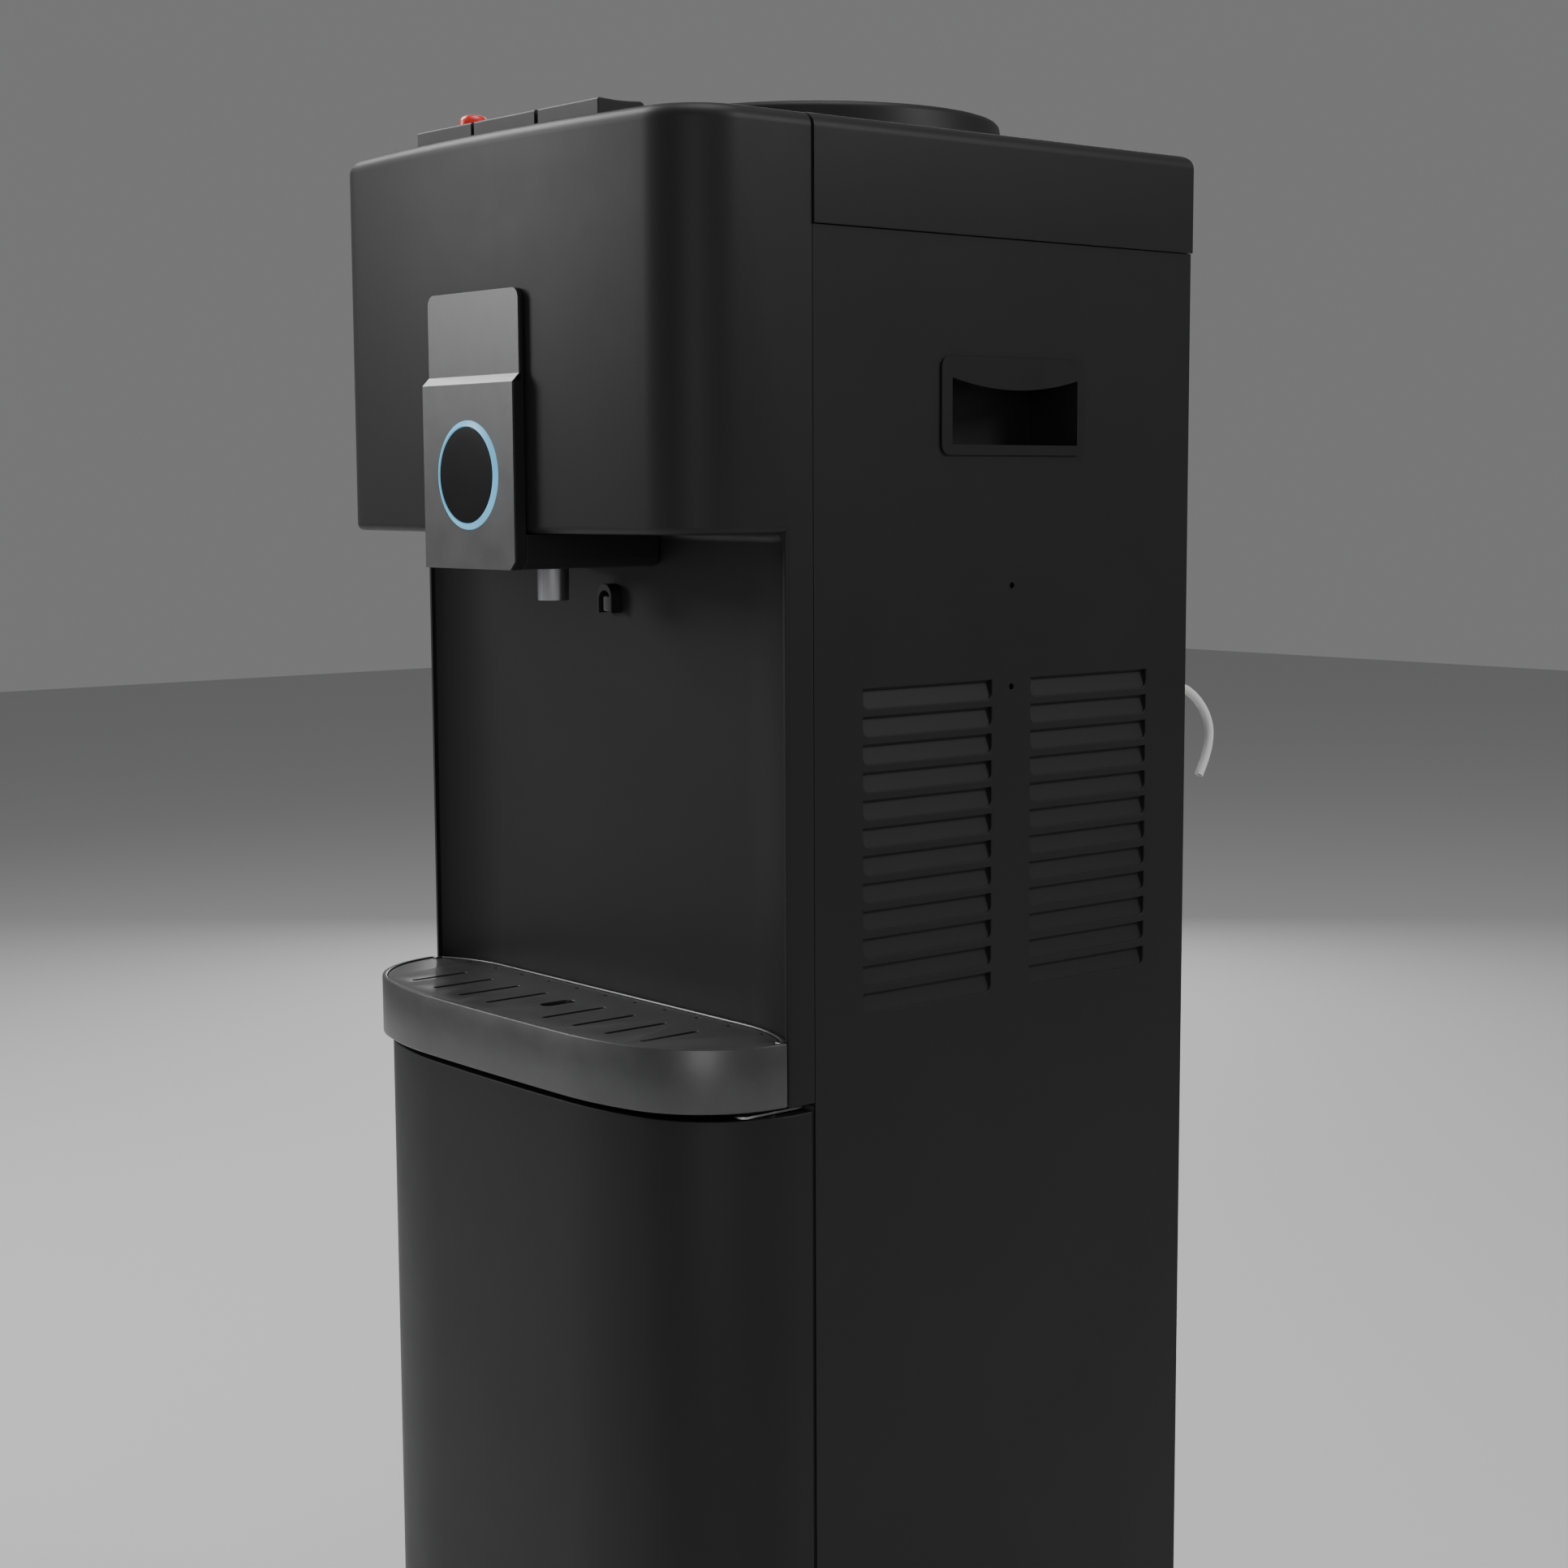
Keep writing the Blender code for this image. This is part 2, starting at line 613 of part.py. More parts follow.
def handle_cups():
    """Moulded finger pocket with a bezel; the upper edge of its mouth sags as a grip."""
    y0, y1, z0, z1 = handle_box(0)
    mouth_y0, mouth_y1 = y0 + HANDLE_RIM + 2 * MM, y1 - HANDLE_RIM
    mouth_z0, mouth_z1 = z0 + HANDLE_RIM, z1 - 2 * HANDLE_RIM
    mid = (mouth_y0 + mouth_y1) / 2
    span = (mouth_y1 - mouth_y0) / 2
    grip_r = (span ** 2 + HANDLE_SAG ** 2) / (2 * HANDLE_SAG)
    lean = math.degrees(math.asin(span / grip_r))
    grip = arc(mid, mouth_z1 - HANDLE_SAG + grip_r, grip_r, -90 + lean, -90 - lean, 10)
    mouth = [(mouth_y0, mouth_z0), (mouth_y1, mouth_z0)] + grip
    for name, side in (("handle_cup_left", -1), ("handle_cup_right", 1)):
        bezel = prism(rounded(y0, y1, z0, z1, HANDLE_CORNER_R), side * (HALF + TOUCH),
                      side * (HALF + OVERHANG), "X")
        cup = make_object(name, bezel, BLACK_PLASTIC, MACHINE)
        shrink = -HANDLE_RIM / 2
        by0, by1, bz0, bz1 = handle_box(shrink)
        back = side * (HALF + TOUCH - HANDLE_DEPTH)
        pocket = prism(rounded(by0, by1, bz0, bz1, HANDLE_CORNER_R / 2), back,
                       side * (HALF + TOUCH + BITE), "X")
        unite(cup, pocket)
        hollow = prism(mouth, back + side * LINER_WALL, side * (HALF + THROUGH), "X")
        cut(cup, hollow)


def back_panel():
    panel = make_object("back_panel", box(-INNER_HALF, INNER_HALF, PANEL_INNER_Y, PANEL_BACK_Y,
                                          BASE_TOP + TOUCH, COVER_BOTTOM - TOUCH), DARK_METAL, MACHINE)
    y0, y1 = PANEL_INNER_Y - THROUGH, PANEL_BACK_Y + THROUGH
    x0, x1, z0, z1 = switch_body(RUN)
    ix0, ix1, iz0, iz1 = inlet_body(RUN)
    gland_hole = prism(circle(GLAND_X, BODY_HEIGHT - GLAND_DROP, GLAND_R - 2 * MM + RUN), y0, y1, "Y")
    cut(panel, box(x0, x1, y0, y1, z0, z1), box(ix0, ix1, y0, y1, iz0, iz1), gland_hole)


def switch_body(grow):
    z = SWITCH_Z
    return (SWITCH_X - ROCKER_PITCH - grow, SWITCH_X + ROCKER_PITCH + grow, z - SWITCH_HALF - grow,
            z + SWITCH_HALF + grow)


def inlet_body(grow):
    z = INLET_Z
    return (SWITCH_X - INLET_HALF_X - grow, SWITCH_X + INLET_HALF_X + grow, z - INLET_HALF_Z - grow,
            z + INLET_HALF_Z + grow)


def switch_bezel():
    x0, x1, z0, z1 = switch_body(0)
    front = PANEL_BACK_Y + TOUCH
    rim = box(x0 - SWITCH_RIM, x1 + SWITCH_RIM, front, front + FLANGE, z0 - SWITCH_RIM, z1 + SWITCH_RIM)
    bezel = make_object("switch_bezel", rim, BLACK_PLASTIC, MACHINE)
    bottom = front + FLANGE - WELL_DEPTH - LINER_WALL
    unite(bezel, box(x0, x1, bottom, front + BITE, z0, z1))
    mid_z = (z0 + z1) / 2
    reach = math.hypot(ROCKER_HALF_L, 4.5 * MM) + RUN
    wells = []
    for x in rocker_places():
        wells.append(box(x - ROCKER_HALF_W - RUN, x + ROCKER_HALF_W + RUN, bottom + LINER_WALL,
                         front + THROUGH, mid_z - reach, mid_z + reach))
    cut(bezel, *wells)


def rocker_places():
    return SWITCH_X - ROCKER_PITCH / 2, SWITCH_X + ROCKER_PITCH / 2


def rockers():
    z = SWITCH_Z
    pivot_y = PANEL_BACK_Y - 2 * MM
    for name, x in zip(("rocker_heating", "rocker_cooling"), rocker_places()):
        pivot = empty(f"{name}_pivot", (x, pivot_y, z), MACHINE)
        outline = [(ROCKER_FACE, ROCKER_HALF_L), (ROCKER_FACE - 1.2 * MM, 0), (ROCKER_FACE, -ROCKER_HALF_L),
                   (-3 * MM, -6.5 * MM), (-3 * MM, 6.5 * MM)]
        turn = math.radians(ROCKER_TILT)
        tilted = [(pivot_y + u * math.cos(turn) - v * math.sin(turn),
                   z + u * math.sin(turn) + v * math.cos(turn)) for u, v in outline]
        shape = prism(tilted, x - ROCKER_HALF_W, x + ROCKER_HALF_W, "X")
        make_object(name, shape, RED_PLASTIC if name == "rocker_heating" else GREY_PLASTIC, pivot)


def mains_inlet():
    """Appliance inlet with an open socket; the lead itself is a separate article."""
    x0, x1, z0, z1 = inlet_body(0)
    front = PANEL_BACK_Y + TOUCH
    rim = box(x0 - 8 * MM, x1 + 8 * MM, front, front + FLANGE, z0 - 3 * MM, z1 + 3 * MM)
    inlet = make_object("mains_inlet", rim, BLACK_PLASTIC, MACHINE)
    unite(inlet, box(x0, x1, front - 18 * MM, front + BITE, z0, z1))
    socket = box(x0 + LINER_WALL, x1 - LINER_WALL, front - 15 * MM, front + THROUGH,
                 z0 + LINER_WALL, z1 - LINER_WALL)
    cut(inlet, socket)


def top_cover():
    levels = [(0, COVER_BOTTOM)] + fillet_levels(TOP_FILLET, BODY_HEIGHT, True)
    cover = make_object("top_cover", layered(cover_outline, levels), BLACK_PLASTIC, MACHINE)
    inner_levels = [(WALL, COVER_BOTTOM - THROUGH), (WALL, BODY_HEIGHT - TOP_FILLET),
                    (TOP_FILLET, BODY_HEIGHT - WALL)]
    hollow = layered(cover_outline, inner_levels)
    cut(cover, hollow)
    # a second cutter, because this hole crosses the hollow
    combine(cover, prism(circle(0, MID_Y, FUNNEL_R + 1 * MM, ROUND), BODY_HEIGHT - 2 * THROUGH,
                         BODY_HEIGHT + THROUGH), "DIFFERENCE")


def head_shell():
    levels = fillet_levels(EDGE_FILLET, HEAD_BOTTOM, False, 2) + fillet_levels(TOP_FILLET, BODY_HEIGHT, True)
    outer = layered(lambda inset: head_outline(inset, -SEAM_HALF), levels)
    head = make_object("head_shell", outer, BLACK_PLASTIC, MACHINE)
    inner_levels = [(WALL, HEAD_BOTTOM + WALL), (WALL, BODY_HEIGHT - TOP_FILLET),
                    (TOP_FILLET, BODY_HEIGHT - WALL)]
    cut(head, layered(lambda inset: head_outline(inset, THROUGH), inner_levels))
    key_slot = box(-KEY_HALF_BLOCK - RUN, KEY_HALF_BLOCK + RUN, KEY_FRONT_Y - RUN, KEY_BACK_Y + RUN,
                   BODY_HEIGHT - THROUGH, BODY_HEIGHT + THROUGH)
    outlet = box(-PLATE_HALF + 2 * WALL, PLATE_HALF - 2 * WALL, -HEAD_REACH + 4 * WALL,
                 HOUSING_BACK_Y - 2 * WALL, HEAD_BOTTOM - THROUGH, HEAD_BOTTOM + THROUGH)
    combine(head, joined([key_slot, outlet]), "DIFFERENCE")
    unite(head, joined([niche_pillar(-1), niche_pillar(1)]), joined([mouth_corner(-1), mouth_corner(1)]))


def niche_pillar(side):
    """Flange beside the niche, moulded on the head and reaching down to the deck."""
    inner = HALF - FLANGE_LIP
    nose = arc(HALF - FLANGE_NOSE_R, FLANGE_Y + FLANGE_NOSE_R, FLANGE_NOSE_R, -90, 0, 3)
    outline = [(inner, -SEAM_HALF), (inner, FLANGE_Y)] + nose + [(HALF, -SEAM_HALF)]
    return prism([(side * x, y) for x, y in outline], TRAY_BOTTOM, HEAD_BOTTOM + EDGE_FILLET + BITE)


def mouth_corner(side):
    """Concave web that rounds an upper corner of the opening."""
    inner = HALF - FLANGE_LIP
    curve = arc(inner - MOUTH_CORNER_R, HEAD_BOTTOM - MOUTH_CORNER_R, MOUTH_CORNER_R, 0, 90, 4)
    outline = curve + [(inner - MOUTH_CORNER_R, HEAD_BOTTOM + BITE), (inner + BITE, HEAD_BOTTOM + BITE),
                       (inner + BITE, HEAD_BOTTOM - MOUTH_CORNER_R)]
    return prism([(side * x, z) for x, z in outline], FLANGE_Y + TOUCH, FLANGE_Y + MOUTH_CORNER, "Y")


def niche_panel():
    """Concave back of the cup niche, set in between the flanges."""
    end_x = HALF - FLANGE_LIP - TOUCH
    right = niche_curve(-WALL, end_x)[::-1] + niche_curve(0, end_x)
    outline = right + mirrored(right)
    make_object("niche_panel", prism(outline, TRAY_BOTTOM, HEAD_BOTTOM - TOUCH), BLACK_PLASTIC, MACHINE)


def machine_deck():
    make_object("machine_deck", prism(deck_outline(), DECK_BOTTOM, DECK_TOP), DARK_METAL, MACHINE)


# --- Dispensing front ------------------------------------------------------------------------

def spout_housing():
    """Box under the head, open at the top, with chamfered lower side edges."""
    top = HEAD_BOTTOM - TOUCH
    y0, y1 = PLATE_BACK_Y + TOUCH, HOUSING_BACK_Y

    def section(inset):
        half, low = PLATE_HALF - inset, HOUSING_BOTTOM + inset
        return [(-half, top), (-half, low + HOUSING_CHAMFER_Z), (HOUSING_CHAMFER_X - half, low),
                (half - HOUSING_CHAMFER_X, low), (half, low + HOUSING_CHAMFER_Z), (half, top)]

    housing = make_object("spout_housing", prism(section(0), y0, y1, "Y"), BLACK_PLASTIC, MACHINE)
    hollow = prism([(x, z + THROUGH if z == top else z) for x, z in section(WALL)], y0 + WALL, y1 - WALL, "Y")
    cut(housing, hollow)
    combine(housing, prism(circle(0, SPOUT_Y, SPOUT_R + TOUCH, 24), HOUSING_BOTTOM - THROUGH,
                           HOUSING_BOTTOM + THROUGH), "DIFFERENCE")


def front_plate():
    top, step = BODY_HEIGHT - PLATE_TOP_DROP, BODY_HEIGHT - PLATE_STEP_DROP
    profile = [(PLATE_BACK_Y, HOUSING_BOTTOM), (PLATE_LOWER_Y, HOUSING_BOTTOM),
               (PLATE_LOWER_Y, step - PLATE_STEP_RISE), (PLATE_UPPER_Y, step), (PLATE_UPPER_Y, top),
               (PLATE_BACK_Y, top)]
    shape = prism(profile, -PLATE_HALF, PLATE_HALF, "X")
    for level, size, steps in ((top, PLATE_CORNER_R, 3), (HOUSING_BOTTOM, PLATE_CHAMFER, 1)):
        corners = [edge for edge in shape.edges
                   if all(abs(vert.co.z - level) < TOUCH for vert in edge.verts)
                   and abs(edge.verts[0].co.x - edge.verts[1].co.x) < TOUCH]
        bmesh.ops.bevel(shape, geom=corners, offset=size, segments=steps, affect="EDGES", profile=0.5)
    plate = make_object("front_plate", shape, SILVER, MACHINE)
    cut(plate, prism(circle(0, BODY_HEIGHT - RING_DROP, RING_R + TOUCH, ROUND), PLATE_LOWER_Y - THROUGH,
                     PLATE_BACK_Y + THROUGH, "Y"))


def indicator():
    """Lit ring with a black disc inside it, both proud of the plate."""
    centre = (0, 0, BODY_HEIGHT - RING_DROP)
    back = PLATE_BACK_Y - TOUCH
    face = FRONT_MOST
    ring = [(RING_R, PLATE_LOWER_Y), (RING_R, back), (RING_INNER_R, back), (RING_INNER_R, face),
            (RING_FACE_R, face)]
    make_object("ring_light", turned(ring, centre, "Y"), RING_BLUE, MACHINE)
    disc_r = RING_INNER_R - TOUCH
    soft = 0.4 * MM
    disc = [(0, face), (disc_r - soft, face), (disc_r, face + soft), (disc_r, back), (0, back)]
    make_object("ring_disc", turned(disc, centre, "Y"), GLOSS_BLACK, MACHINE)


def spout():
    low, high = HOUSING_BOTTOM - SPOUT_REACH, HOUSING_BOTTOM + SPOUT_TOP
    profile = [(SPOUT_BORE_R, low), (SPOUT_R - 0.6 * MM, low), (SPOUT_R, low + 0.6 * MM), (SPOUT_R, high),
               (0, high), (0, low + SPOUT_BORE_DEPTH), (SPOUT_BORE_R, low + SPOUT_BORE_DEPTH)]
    make_object("spout", turned(profile, (0, SPOUT_Y, 0), steps=24), SILVER, MACHINE)


def valve_places():
    middle = (KEY_HALF_BLOCK + KEY_SLIT_X) / 2
    return {"hot": -middle, "room": 0.0, "cold": middle}


def outlet_manifold():
    """T-shaped block that leads the three valves to the spout."""
    top = BODY_HEIGHT - VALVE_TOP_DROP - VALVE_HEIGHT - TOUCH
    low = HOUSING_BOTTOM + SPOUT_TOP + TOUCH
    stem = SPOUT_R - 2 * MM
    outline = [(-stem, low), (stem, low), (stem, top - MANIFOLD_BAR), (MANIFOLD_HALF, top - MANIFOLD_BAR),
               (MANIFOLD_HALF, top), (-MANIFOLD_HALF, top), (-MANIFOLD_HALF, top - MANIFOLD_BAR),
               (-stem, top - MANIFOLD_BAR)]
    y0 = SPOUT_Y - MANIFOLD_DEPTH * 0.6
    make_object("outlet_manifold", prism(outline, y0, y0 + MANIFOLD_DEPTH, "Y"), WHITE_PLASTIC, MACHINE)


def key_middle_y():
    return (KEY_FRONT_Y + KEY_BACK_Y) / 2


def valves():
    top = BODY_HEIGHT - VALVE_TOP_DROP
    half = VALVE_SIZE / 2
    for name, x in valve_places().items():
        y = key_middle_y()
        outline = rounded(x - half, x + half, y - half, y + half, 3 * MM, 2)
        body = make_object(f"valve_{name}", prism(outline, top - VALVE_HEIGHT, top), WHITE_PLASTIC, MACHINE)
        cut(body, prism(circle(x, y, KEY_STEM_R + TOUCH), top - VALVE_BORE_DEPTH, top + THROUGH))


def keys():
    """Three crowned keys; each presses its valve with a round stem."""
    low = BODY_HEIGHT + KEY_RISE - KEY_THICKNESS
    high = BODY_HEIGHT + KEY_RISE
    inner = KEY_SLIT_X - KEY_SLIT / 2
    outer = KEY_SLIT_X + KEY_SLIT / 2
    spans = {"hot": (-KEY_HALF_BLOCK, -outer), "room": (-inner, inner), "cold": (outer, KEY_HALF_BLOCK)}
    y = key_middle_y()
    for name, (x0, x1) in spans.items():
        pivot = empty(f"key_{name}_slide", (valve_places()[name], y, high), MACHINE)
        front = arc(KEY_FRONT_Y + KEY_CROWN / 2, high - KEY_CROWN / 2, KEY_CROWN / 2, 180, 90, 3)
        back = arc(KEY_BACK_Y - KEY_CROWN, high - KEY_CROWN, KEY_CROWN, 90, 0, 3)
        profile = [(KEY_FRONT_Y, low)] + front + back + [(KEY_BACK_Y, low)]
        key = make_object(f"key_{name}", prism(profile, x0, x1, "X"), BLACK_PLASTIC, pivot)
        stem = prism(circle(valve_places()[name], y, KEY_STEM_R), BODY_HEIGHT - KEY_STEM_DROP, low + BITE)
        unite(key, stem)
        if name == "hot":
            well = prism(circle(LOCK_X, LOCK_Y, LOCK_R + TOUCH, 20), high - LOCK_SINK - LOCK_TRAVEL - RUN,
                         high + THROUGH)
            cut(key, well)
    lock = empty("child_lock_slide", (LOCK_X, LOCK_Y, high), MACHINE)
    crown = high + LOCK_RISE
    shoulder = [(LOCK_R - LOCK_SHOULDER_X * (1 - u), crown - LOCK_SHOULDER_Z * (1 - v))
                for u, v in circle(0, 0, 1, SMALL_ROUND)[:SMALL_ROUND // 4 + 1]]
    profile = [(0, high - LOCK_SINK), (LOCK_R, high - LOCK_SINK)] + shoulder + [(0, crown)]
    make_object("child_lock_button", turned(profile, (LOCK_X, LOCK_Y, 0), steps=24), RED_PLASTIC, lock)


def night_light():
    """Small hooded lamp on the niche wall."""
    top = BODY_HEIGHT - HOOD_DROP
    low = top - HOOD_HEIGHT
    back = NICHE_WALL_Y - TOUCH

    def arch(half, base, crown):
        return [(-half, base), (half, base)] + arc(0, crown - half, half, 0, 180, 8)

    hood = make_object("night_light_hood", prism(arch(HOOD_HALF, low, top), HOOD_FRONT_Y, back, "Y"),
                       BLACK_PLASTIC, MACHINE)
    inner = HOOD_HALF - HOOD_WALL
    cut(hood, box(-inner, inner, HOOD_FRONT_Y - THROUGH, back - HOOD_WALL, low - THROUGH, top - HOOD_HALF))
    lens_r = inner - TOUCH
    flat_y = back - HOOD_WALL - TOUCH
    outline = arc(0, flat_y, lens_r, 180, 360, 10)
    make_object("night_light_lens", prism(outline, low + MM, top - HOOD_HALF - TOUCH), LENS, MACHINE)


# --- Drip tray -------------------------------------------------------------------------------

def drip_tray():
    pivot = empty("drip_tray_slide", (0, -TRAY_REACH / 2, TRAY_BOTTOM), MACHINE)
    ledge = TRAY_TOP - TRAY_LEDGE
    levels = [(1.5 * MM, TRAY_BOTTOM), (0, TRAY_BOTTOM + 1.5 * MM), (0, TRAY_TOP - 0.6 * MM),
              (0.6 * MM, TRAY_TOP), (TRAY_RIM, TRAY_TOP), (TRAY_RIM, ledge), (2 * TRAY_RIM, ledge),
              (2 * TRAY_RIM, TRAY_BOTTOM + WALL)]
    make_object("drip_tray", layered(tray_outline, levels), SILVER, pivot)


def drip_grille():
    pivot = empty("drip_grille_lift", (0, -TRAY_REACH / 2, TRAY_TOP), MACHINE)
    low = TRAY_TOP - TRAY_LEDGE + TOUCH
    inset = TRAY_RIM + RUN
    levels = [(inset, low), (inset, low + GRILLE - 0.5 * MM), (inset + 0.5 * MM, low + GRILLE)]
    grille = make_object("drip_grille", layered(tray_outline, levels), SILVER, pivot)
    slots = []
    half = GRILLE_SLOT / 2
    y0, y1 = GRILLE_SLOT_Y
    for i in range(GRILLE_SLOTS):
        x = (i - (GRILLE_SLOTS - 1) / 2) * GRILLE_PITCH
        if x == 0:
            hole = rounded(-GRILLE_HOLE / 2, GRILLE_HOLE / 2, *GRILLE_HOLE_Y, GRILLE_HOLE / 2 - 0.1 * MM)
            slots.append(prism(hole, low - THROUGH, low + 2 * THROUGH))
            continue
        start = y0 + GRILLE_FALL * (x / HALF) ** 4
        slots.append(prism(rounded(x - half, x + half, start, y1, half - 0.1 * MM, 1),
                           low - THROUGH, low + 2 * THROUGH))
    cut(grille, *slots)


# --- Door and storage ------------------------------------------------------------------------

def door():
    pivot = empty("door_hinge", (HINGE_X, HINGE_Y, DOOR_BOTTOM), MACHINE)
    levels = (fillet_levels(DOOR_FILLET, DOOR_BOTTOM, False, 2)
              + fillet_levels(DOOR_TOP_FILLET, DOOR_TOP, True, 2))
    shell = make_object("door_shell", layered(lambda inset: door_outline(inset, DOOR_BACK_Y), levels),
                        BLACK_PLASTIC, pivot)
    hollow = layered(lambda inset: door_outline(inset, THROUGH),
                     [(WALL, DOOR_BOTTOM + WALL), (WALL, DOOR_TOP - WALL)])
    cut(shell, hollow)
    bore = circle(HINGE_X, HINGE_Y, HINGE_PIN_R + TOUCH)
    combine(shell, joined([prism(bore, DOOR_TOP - 2 * WALL, DOOR_TOP + THROUGH),
                           prism(bore, DOOR_BOTTOM - THROUGH, DOOR_BOTTOM + 2 * WALL)]), "DIFFERENCE")
    edge = WALL + TOUCH
    liner = rounded(-HALF + edge, HALF - edge, DOOR_BOTTOM + edge, DOOR_TOP - edge, 2 * MM, 2)
    make_object("door_liner", prism(liner, DOOR_BACK_Y - WALL, DOOR_BACK_Y, "Y"), GREY_PLASTIC, pivot)


def hinge_arm(name, low, pin_low, pin_high):
    """Flat arm with a round end that carries the hinge pin."""
    end = arc(HINGE_X, HINGE_Y, HINGE_ARM_R, 180, 360, 10)
    outline = end + [(HINGE_X + HINGE_ARM_R, NICHE_WALL_Y - RUN), (HINGE_X - HINGE_ARM_R, NICHE_WALL_Y - RUN)]
    arm = make_object(name, prism(outline, low, low + HINGE_ARM), STEEL, MACHINE)
    unite(arm, prism(circle(HINGE_X, HINGE_Y, HINGE_PIN_R), pin_low, pin_high))


def hinges():
    upper = DECK_BOTTOM - TOUCH - HINGE_ARM
    hinge_arm("hinge_upper", upper, upper - HINGE_PIN_LENGTH, upper + BITE)
    lower = BASE_TOP + TOUCH
    hinge_arm("hinge_lower", lower, lower + BITE, lower + HINGE_ARM + HINGE_PIN_LENGTH)


def compartment_liner():
    """Moulded storage box behind the door, with a flange round its mouth."""
    low, high = BASE_TOP + TOUCH, DECK_BOTTOM - TOUCH
    flange_back = LINER_FRONT_Y + LINER_WALL
    back_y = BODY_DEPTH - LINER_BACK
    liner = make_object("compartment_liner", box(-INNER_HALF, INNER_HALF, LINER_FRONT_Y, flange_back,
                                                 low, high), GREY_PLASTIC, MACHINE)
    unite(liner, box(-LINER_HALF, LINER_HALF, flange_back - BITE, back_y, low + BITE, high - BITE))
    inner = LINER_HALF - LINER_WALL
    rim = 2 * LINER_WALL
    cut(liner, prism(rounded(-inner, inner, low + rim, high - rim, 6 * MM), LINER_FRONT_Y - THROUGH,
                     back_y - LINER_WALL, "Y"))


def door_catch():
    """Magnetic catch on the flange, on the side away from the hinge."""
    z = DOOR_TOP - 40 * MM
    make_object("door_catch", box(-HALF + 4 * MM, -HALF + 8.5 * MM, DOOR_BACK_Y + TOUCH,
                                  LINER_FRONT_Y - TOUCH, z, z + 30 * MM), STEEL, MACHINE)


# --- Bottle collar and water path ------------------------------------------------------------

def bottle_collar():
    """Collar ring on the cover with the funnel that hangs through it."""
    pivot = empty("collar_lift", (0, MID_Y, BODY_HEIGHT), MACHINE)
    top, rest = BODY_HEIGHT + COLLAR_RISE, BODY_HEIGHT + TOUCH
    funnel_low = BODY_HEIGHT - FUNNEL_DEPTH
    cone_low = funnel_low + THROAT_DEPTH
    rim = arc(COLLAR_R - COLLAR_EDGE_R, top - COLLAR_EDGE_R, COLLAR_EDGE_R, 0, 90, 3)
    rim_inner = COLLAR_R - COLLAR_EDGE_R - COLLAR_FLAT
    profile = ([(COLLAR_BASE_R, rest)] + rim
               + [(rim_inner, top), (rim_inner - COLLAR_WALL, top - COLLAR_WALL),
                  (FUNNEL_R - 2 * COLLAR_WALL, rest), (THROAT_R - COLLAR_WALL, cone_low),
                  (THROAT_R - COLLAR_WALL, funnel_low + COLLAR_WALL),
                  (PROBE_R + TOUCH, funnel_low + COLLAR_WALL), (PROBE_R + TOUCH, funnel_low),
                  (THROAT_R, funnel_low), (THROAT_R, cone_low - 2 * MM),
                  (FUNNEL_R - COLLAR_WALL, BODY_HEIGHT - 2 * WALL), (FUNNEL_R, BODY_HEIGHT - WALL),
                  (FUNNEL_R, rest)])
    make_object("bottle_collar", turned(profile, (0, MID_Y, 0), steps=32), BLACK_PLASTIC, pivot)

    low = funnel_low - 7 * MM
    tip = low + PROBE_HEIGHT
    probe = [(PROBE_R - 2 * MM, low), (PROBE_R, low), (PROBE_R, tip - 8 * MM), (PROBE_R * 0.5, tip), (0, tip),
             (0, tip - 12 * MM), (PROBE_R - 2 * MM, tip - 12 * MM)]
    spike = make_object("feed_probe", turned(probe, (0, MID_Y, 0), steps=20), WHITE_PLASTIC, pivot)
    port_z = tip - 22 * MM
    cut(spike, box(-2 * PROBE_R, 2 * PROBE_R, MID_Y - 2 * MM, MID_Y + 2 * MM, port_z, port_z + 6 * MM))


def tank_lid():
    low = TANK_TOP + TOUCH
    profile = [(PROBE_R * 2, low), (TANK_R + RUN + FOAM, low), (TANK_R + RUN + FOAM, low + WALL),
               (PROBE_R * 2, low + WALL)]
    make_object("tank_lid", turned(profile, (0, MID_Y, 0)), WHITE_PLASTIC, MACHINE)


def cold_tank():
    """Open steel tank with a foot spigot and two side spigots, in its foam jacket."""
    foot = TANK_FLOOR - SPIGOT_DROP
    inner = TANK_R - TANK_WALL
    bore = SPIGOT_R - 2 * MM
    profile = [(bore, foot), (SPIGOT_R, foot), (SPIGOT_R, TANK_FLOOR), (TANK_R, TANK_FLOOR),
               (TANK_R, TANK_TOP), (inner, TANK_TOP), (inner, TANK_FLOOR + TANK_WALL),
               (bore, TANK_FLOOR + TANK_WALL)]
    tank = make_object("cold_tank", turned(profile, (0, MID_Y, 0)), STEEL, MACHINE)
    foam_r = TANK_R + RUN + FOAM
    spigots = []
    holes = []
    for drop in (ROOM_PORT_DROP, COLD_PORT_DROP):
        z = TANK_TOP - drop
        spigots.append(prism(circle(0, z, SPIGOT_R, 12), MID_Y - foam_r - MM, MID_Y - inner - TANK_WALL / 3, "Y"))
        holes.append(prism(circle(0, z, SPIGOT_R + RUN, 12), MID_Y - foam_r - THROUGH, MID_Y, "Y"))
    unite(tank, joined(spigots))

    low = TANK_FLOOR - FOAM
    jacket = [(SPIGOT_R + RUN, low), (foam_r, low), (foam_r, TANK_TOP), (TANK_R + RUN, TANK_TOP),
              (TANK_R + RUN, TANK_FLOOR - RUN), (SPIGOT_R + RUN, TANK_FLOOR - RUN)]
    foam = make_object("tank_insulation", turned(jacket, (0, MID_Y, 0)), FOAM_WHITE, MACHINE)
    x0, x1, y0, y1, z0, z1 = cold_block_box(RUN)
    cut(foam, box(TANK_R - THROUGH, x1 + THROUGH, y0, y1, z0, z1), *holes)


